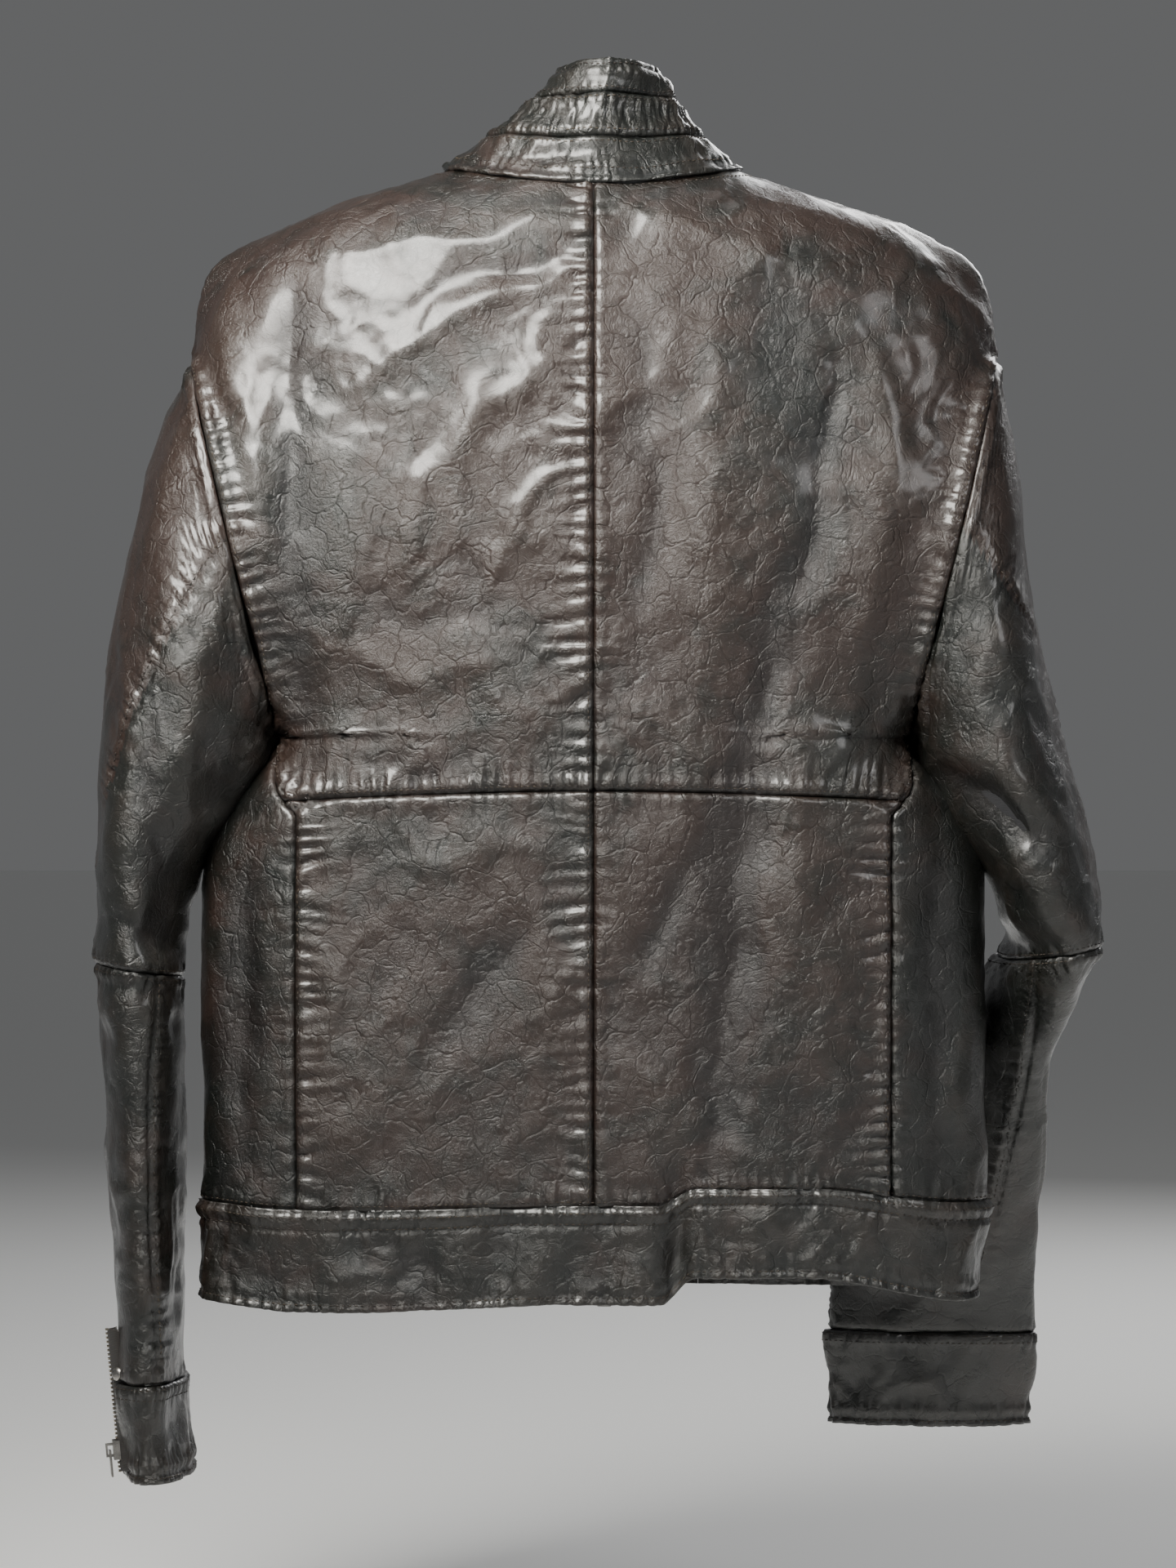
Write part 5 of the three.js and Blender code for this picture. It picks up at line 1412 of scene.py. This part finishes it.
def laid(tree, points, outward, raise_by=0.15, settled=True, every=2.4):
    run = np.concatenate([[0], np.cumsum(np.linalg.norm(np.diff(points, axis=0), axis=1))])
    wanted = np.linspace(0, run[-1], max(3, int(run[-1] / every)))
    points = np.stack([np.interp(wanted, run, points[:, k]) for k in range(3)], axis=1)
    outward = np.stack([np.interp(wanted, run, outward[:, k]) for k in range(3)], axis=1)
    if settled:
        points = settle(points)
    spots, ups = [], []
    for p, n in zip(points, outward):
        n = n / np.linalg.norm(n)
        hit, normal, _, distance = tree.ray_cast(Vector(p + n * 14), Vector(-n), 26)
        if hit is None:
            continue
        if normal.dot(Vector(n)) < 0:
            normal = -normal
        spots.append(np.array(hit) + np.array(normal) * raise_by)
        ups.append(np.array(normal))
    return (np.array(spots), np.array(ups)) if len(spots) > 2 else None


def body_outward(points):
    """Away from the middle of the body, mostly to the back or the front, and upward over the shoulders."""
    away = points - [0, -5, 0]
    away[:, 0] *= 0.35
    away[:, 2] = np.where(points[:, 2] > -60, 30, 0)
    return away / np.linalg.norm(away, axis=1, keepdims=True)


# %% Stitch the body, the band and the collar
body_tree = surface_of("torso")
torso_rows = []


def add_row(rows, tree, points, offset, outward=None, settled=True):
    outward = body_outward(points) if outward is None else outward
    row = laid(tree, beside(points, offset, outward), outward, settled=settled)
    if row is not None:
        rows.append(row)


for name, seam in body_seams.items():
    if name == "neck" or name.startswith("hem_top") or name.startswith("front_fold"):
        continue
    add_row(torso_rows, body_tree, seam.points[1:-1], STITCH_OFFSET * seam.stitched)
back_ring = np.linspace(-1.62, 1.62, 260)
neck_ring = np.linspace(-WING, WING, 160)
BAND_ROWS = (BAND_SEAM - 3.0, BAND_SEAM - 9.0, HEM + 4.0)
add_row(torso_rows, body_tree, body_points(neck_ring, NECK_LEVEL - 4), 0)
for level in (*BAND_ROWS, BAND_SEAM + 3.5):
    add_row(torso_rows, body_tree, body_points(back_ring, level), 0)
for above in (3.5, 19.5, 26.5, 45.5, 52, 66):
    line = collar_points(np.linspace(-WING + 0.02, WING - 0.02, 200), above)
    add_row(torso_rows, body_tree, line, 0, settled=False)
stitches = grown("stitches_torso", torso_rows, STITCHES, Finish=THREAD)
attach(stitches, "torso")

for word, sign in SIDES:
    tree = surface_of("front_" + word)
    rows = []
    tall = np.linspace(NECK_LEVEL - 4, BAND_SEAM + 3, 120)
    lines = [body_points(sign * (2 - share_at_x(tall, False, FRONT_EDGE + inside)), tall)
             for inside in (3.0, 9.0)]
    lines.append(body_points(sign * (fold_round(tall) + 0.012), tall))
    part_ring = np.linspace(float(fold_round([HEM])[0]) + 0.01, float(edge_round([HEM])[0]) - 0.01, 40) * sign
    lines += [body_points(part_ring, level) for level in BAND_ROWS]
    for line in lines:
        add_row(rows, tree, line, 0, np.tile([0.0, -1.0, 0.0], (len(line), 1)))
    stitches = grown("stitches_front_" + word, rows, STITCHES, Finish=THREAD)
    follow(stitches, "front_" + word)

# %% Stitch the sleeves
for word, sign in SIDES:
    seams, sections = SLEEVE_SEAMS[word], SLEEVES[word][1]

    def sleeve_outward(points):
        middle_x, middle_y = (np.interp(-points[:, 2], -sections[:, 6], sections[:, c]) for c in (0, 4))
        level_part = np.zeros(len(points))
        away = np.stack([points[:, 0] - sign * middle_x, points[:, 1] - middle_y, level_part], axis=1)
        return away / np.clip(np.linalg.norm(away, axis=1, keepdims=True), 1e-9, None)

    for group, names in (("sleeve_", ("panel", "edge", "inner_top", "under")),
                         ("forearm_", ("long", "inner_low"))):
        tree, rows = surface_of(group + word), []
        for name in names:
            if name in seams:
                line, offset = seams[name].points[1:-1], STITCH_OFFSET * seams[name].stitched
                add_row(rows, tree, line, offset, sleeve_outward(line), settled=False)
        line = ring_line(word, ELBOW - 0.06 if group == "sleeve_" else ELBOW + 0.06, 140)
        add_row(rows, tree, line, 0, sleeve_outward(line), settled=False)
        stitches = grown(f"stitches_{group}{word}", rows, STITCHES, Finish=THREAD)
        follow(stitches, group + word)
    tree, rows = surface_of("cuff_" + word), []
    for at in (CUFF_TOP[word] + 0.05, CUFF_TOP[word] + 0.17, CUFF_EDGE - 0.07):
        line = ring_line(word, at, 140)
        add_row(rows, tree, line, 0, sleeve_outward(line), settled=False)
    stitches = grown("stitches_cuff_" + word, rows, STITCHES, Finish=THREAD)
    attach(stitches, "forearm_" + word)

# %% [markdown]
# ## Zips
# Each chain is two rows of metal teeth on a woven tape. The frame's chain gives the place: its longest way
# is along the zip and its thinnest way is the way it faces.

# %% Teeth and tapes
TEETH_APART = 1.1  # from the zip's middle line to each row
MAIN_TAPE = [(-3.0, -0.2), (0, -0.2), (3.2, -0.6), (5.2, -3.2), (9.5, -3.9)]
POCKET_FALL, CUFF_FALL = -3.6, -5.8  # how deep a tape's edges sink under the leather


def reach(values):
    """Half the length of a run of values, and its middle."""
    return (values.max() - values.min()) / 2, (values.max() + values.min()) / 2


for made in sorted(m for m in frame["nodes"] if m.endswith("_chain") or "zip_chain" in m):
    mesh = bpy.data.objects[made].data
    co = np.array([v.co for v in mesh.vertices]) * 1000
    along = np.linalg.eigh(np.cov((co - co.mean(axis=0)).T))[1][:, 2]
    along = along * np.sign(along[2])
    normals = np.array([f.normal for f in mesh.polygons])
    sides = np.abs(normals @ along) < 0.3
    weights = np.array([f.area for f in mesh.polygons])[sides]
    spread = (normals[sides] * weights[:, None]).T @ normals[sides]
    facing = np.linalg.eigh(spread)[1][:, 2]
    facing = facing - along * (facing @ along)
    facing /= np.linalg.norm(facing)
    across = np.cross(along, facing)
    half_length, middle = reach(co @ along)
    away = across * reach(co @ across)[1] + facing * reach(co @ facing)[1] + along * middle
    if facing @ (away * [1, 1, 0]) < 0:
        facing = -facing
    start, end = (away + along * m for m in (1 - half_length, half_length - 1))
    line = start + (end - start) * np.linspace(0, 1, 30)[:, None]
    rows = [(line + across * shift, np.tile(facing, (30, 1))) for shift in (-TEETH_APART, TEETH_APART)]
    piece = grown("teeth_" + made, rows, TEETH, Finish=TEETH_METAL, Spacing=0.0024, Length=0.0017,
                  Width=0.0028, Height=0.0019, Unevenness=0.0)
    if made.startswith("main"):
        inward = math.copysign(1, across @ away)
        profile = [(s * inward, d) for s, d in MAIN_TAPE][::int(inward)]
    else:
        fall = POCKET_FALL if made.startswith("pocket") else CUFF_FALL
        profile = [(-9.5, fall), (-6.5, fall * 0.75), (-3.6, -0.6), (0, -0.2), (3.6, -0.6),
                   (6.5, fall * 0.75), (9.5, fall)]
    run = np.linspace(0, 1, 60)[:, None]
    tape_grid = np.stack([start + across * s + facing * d + (end - start) * run for s, d in profile])
    tape_grid = tape_grid.transpose(1, 0, 2)
    tape = make_sheet("tape_" + made, tape_grid, lambda p, n: 0.1 * noise(p / 5), 0.7, settled=False)
    tape.data.materials.append(TAPE_CLOTH)
    for part in (piece, tape):
        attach(part, body_of(bpy.data.objects[made])[0])
    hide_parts(made)

# %% Stud by the left cuff
STUD_LEVEL, STUD_ROUND, STUD_PROUD = -690, -0.10, 1.8
profile = [(0, 2.6), (1.6, 2.5), (3.0, 2.0), (3.9, 1.1), (4.2, 0.2), (3.9, -0.4), (0, -0.4)]
turns = 20
ring = [(r * math.cos(2 * math.pi * k / turns), r * math.sin(2 * math.pi * k / turns), h)
        for r, h in profile[1:-1] for k in range(turns)]
points = [(0, 0, profile[0][1])] + ring + [(0, 0, profile[-1][1])]
faces = [(0, 1 + k, 1 + (k + 1) % turns) for k in range(turns)]
for level in range(len(profile) - 3):
    a = 1 + level * turns
    faces += [(a + k, a + turns + k, a + turns + (k + 1) % turns, a + (k + 1) % turns) for k in range(turns)]
a = 1 + (len(profile) - 3) * turns
faces += [(len(points) - 1, a + (k + 1) % turns, a + k) for k in range(turns)]
spot = Vector(sleeve_points("left", STUD_ROUND, station_at("left", STUD_LEVEL)))
outward = Vector((0.62, 0.78, 0)).normalized()
turn = outward.to_track_quat("Z", "Y").to_matrix()
mesh = bpy.data.meshes.new("cuff_stud")
mesh.from_pydata([tuple((spot + outward * STUD_PROUD + turn @ Vector(p)) / 1000) for p in points], [], faces)
mesh.shade_smooth()
mesh.materials.append(NICKEL)
stud = new_piece("cuff_stud", mesh)
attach(stud, "forearm_left")

# %% [markdown]
# ## Floor, light and camera
# A pale floor lies under the hanging jacket. A close lamp high behind the left shoulder makes the leather's
# gloss, weaker ones fill the right side and the lower half, one lights the front and one the shoulders. The
# camera looks level at the back from a few metres away.

# %% Floor
FLOOR_SIZE, FLOOR_LEVEL = 60, -0.86
bpy.ops.mesh.primitive_plane_add(size=FLOOR_SIZE, location=(0, 0, FLOOR_LEVEL))
floor = bpy.context.object
floor.name = "floor"
floor_paint, _, floor_shader = new_material("pale_floor")
floor_shader.inputs["Base Color"].default_value = (0.93, 0.93, 0.92, 1)
floor_shader.inputs["Roughness"].default_value = 0.9
floor.data.materials.append(floor_paint)
floor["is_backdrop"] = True

# %% Lights and world
scene = bpy.context.scene
scene.world = bpy.data.worlds.new("studio")
scene.world.use_nodes = True
background = scene.world.node_tree.nodes["Background"]
background.inputs["Color"].default_value = (0.80, 0.81, 0.82, 1)
background.inputs["Strength"].default_value = 0.16


def area_light(name, place, target, size, power):
    data = bpy.data.lights.new(name, "AREA")
    data.shape, data.size, data.size_y, data.energy = "RECTANGLE", size, size, power
    lamp = bpy.data.objects.new(name, data)
    lamp.location = place
    lamp.rotation_euler = (Vector(target) - Vector(place)).to_track_quat("-Z", "Y").to_euler()
    scene.collection.objects.link(lamp)
    return lamp


key = area_light("key", (0.46, 0.86, 0.48), (0.11, 0.06, -0.08), 0.6, 8.5)
key.data.spread, key.data.color = math.radians(75), (1.0, 0.98, 0.92)
area_light("fill", (-1.1, 1.15, 0.25), (-0.14, 0, -0.22), 0.45, 4.2)
area_light("low_fill", (0.1, 2.9, 0.1), (0, 0, -0.45), 1.2, 3)
area_light("front_key", (-1.2, -2.6, 1.2), (0, 0, -0.3), 1.2, 40)
area_light("top", (0.1, -0.1, 1.8), (0, 0, -0.3), 1.0, 4)

# %% Camera
DISTANCE, VIEW_HEIGHT = 3.2, 0.887
SENSOR = 36
JACKET_BACK, AIM_X, AIM_LEVEL = 0.08, 0.0032, -0.351
lens = bpy.data.cameras.new("camera")
lens.sensor_width = SENSOR
lens.lens = SENSOR * DISTANCE / VIEW_HEIGHT
camera = bpy.data.objects.new("camera", lens)
camera.location = (AIM_X, JACKET_BACK + DISTANCE, AIM_LEVEL)
camera.rotation_euler = (math.radians(90), 0, math.radians(180))
scene.collection.objects.link(camera)
scene.camera = camera

# %% Sizes of what is drawn
low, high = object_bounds()
print("visual box, mm:", [round(v * 1000) for v in low], [round(v * 1000) for v in high])
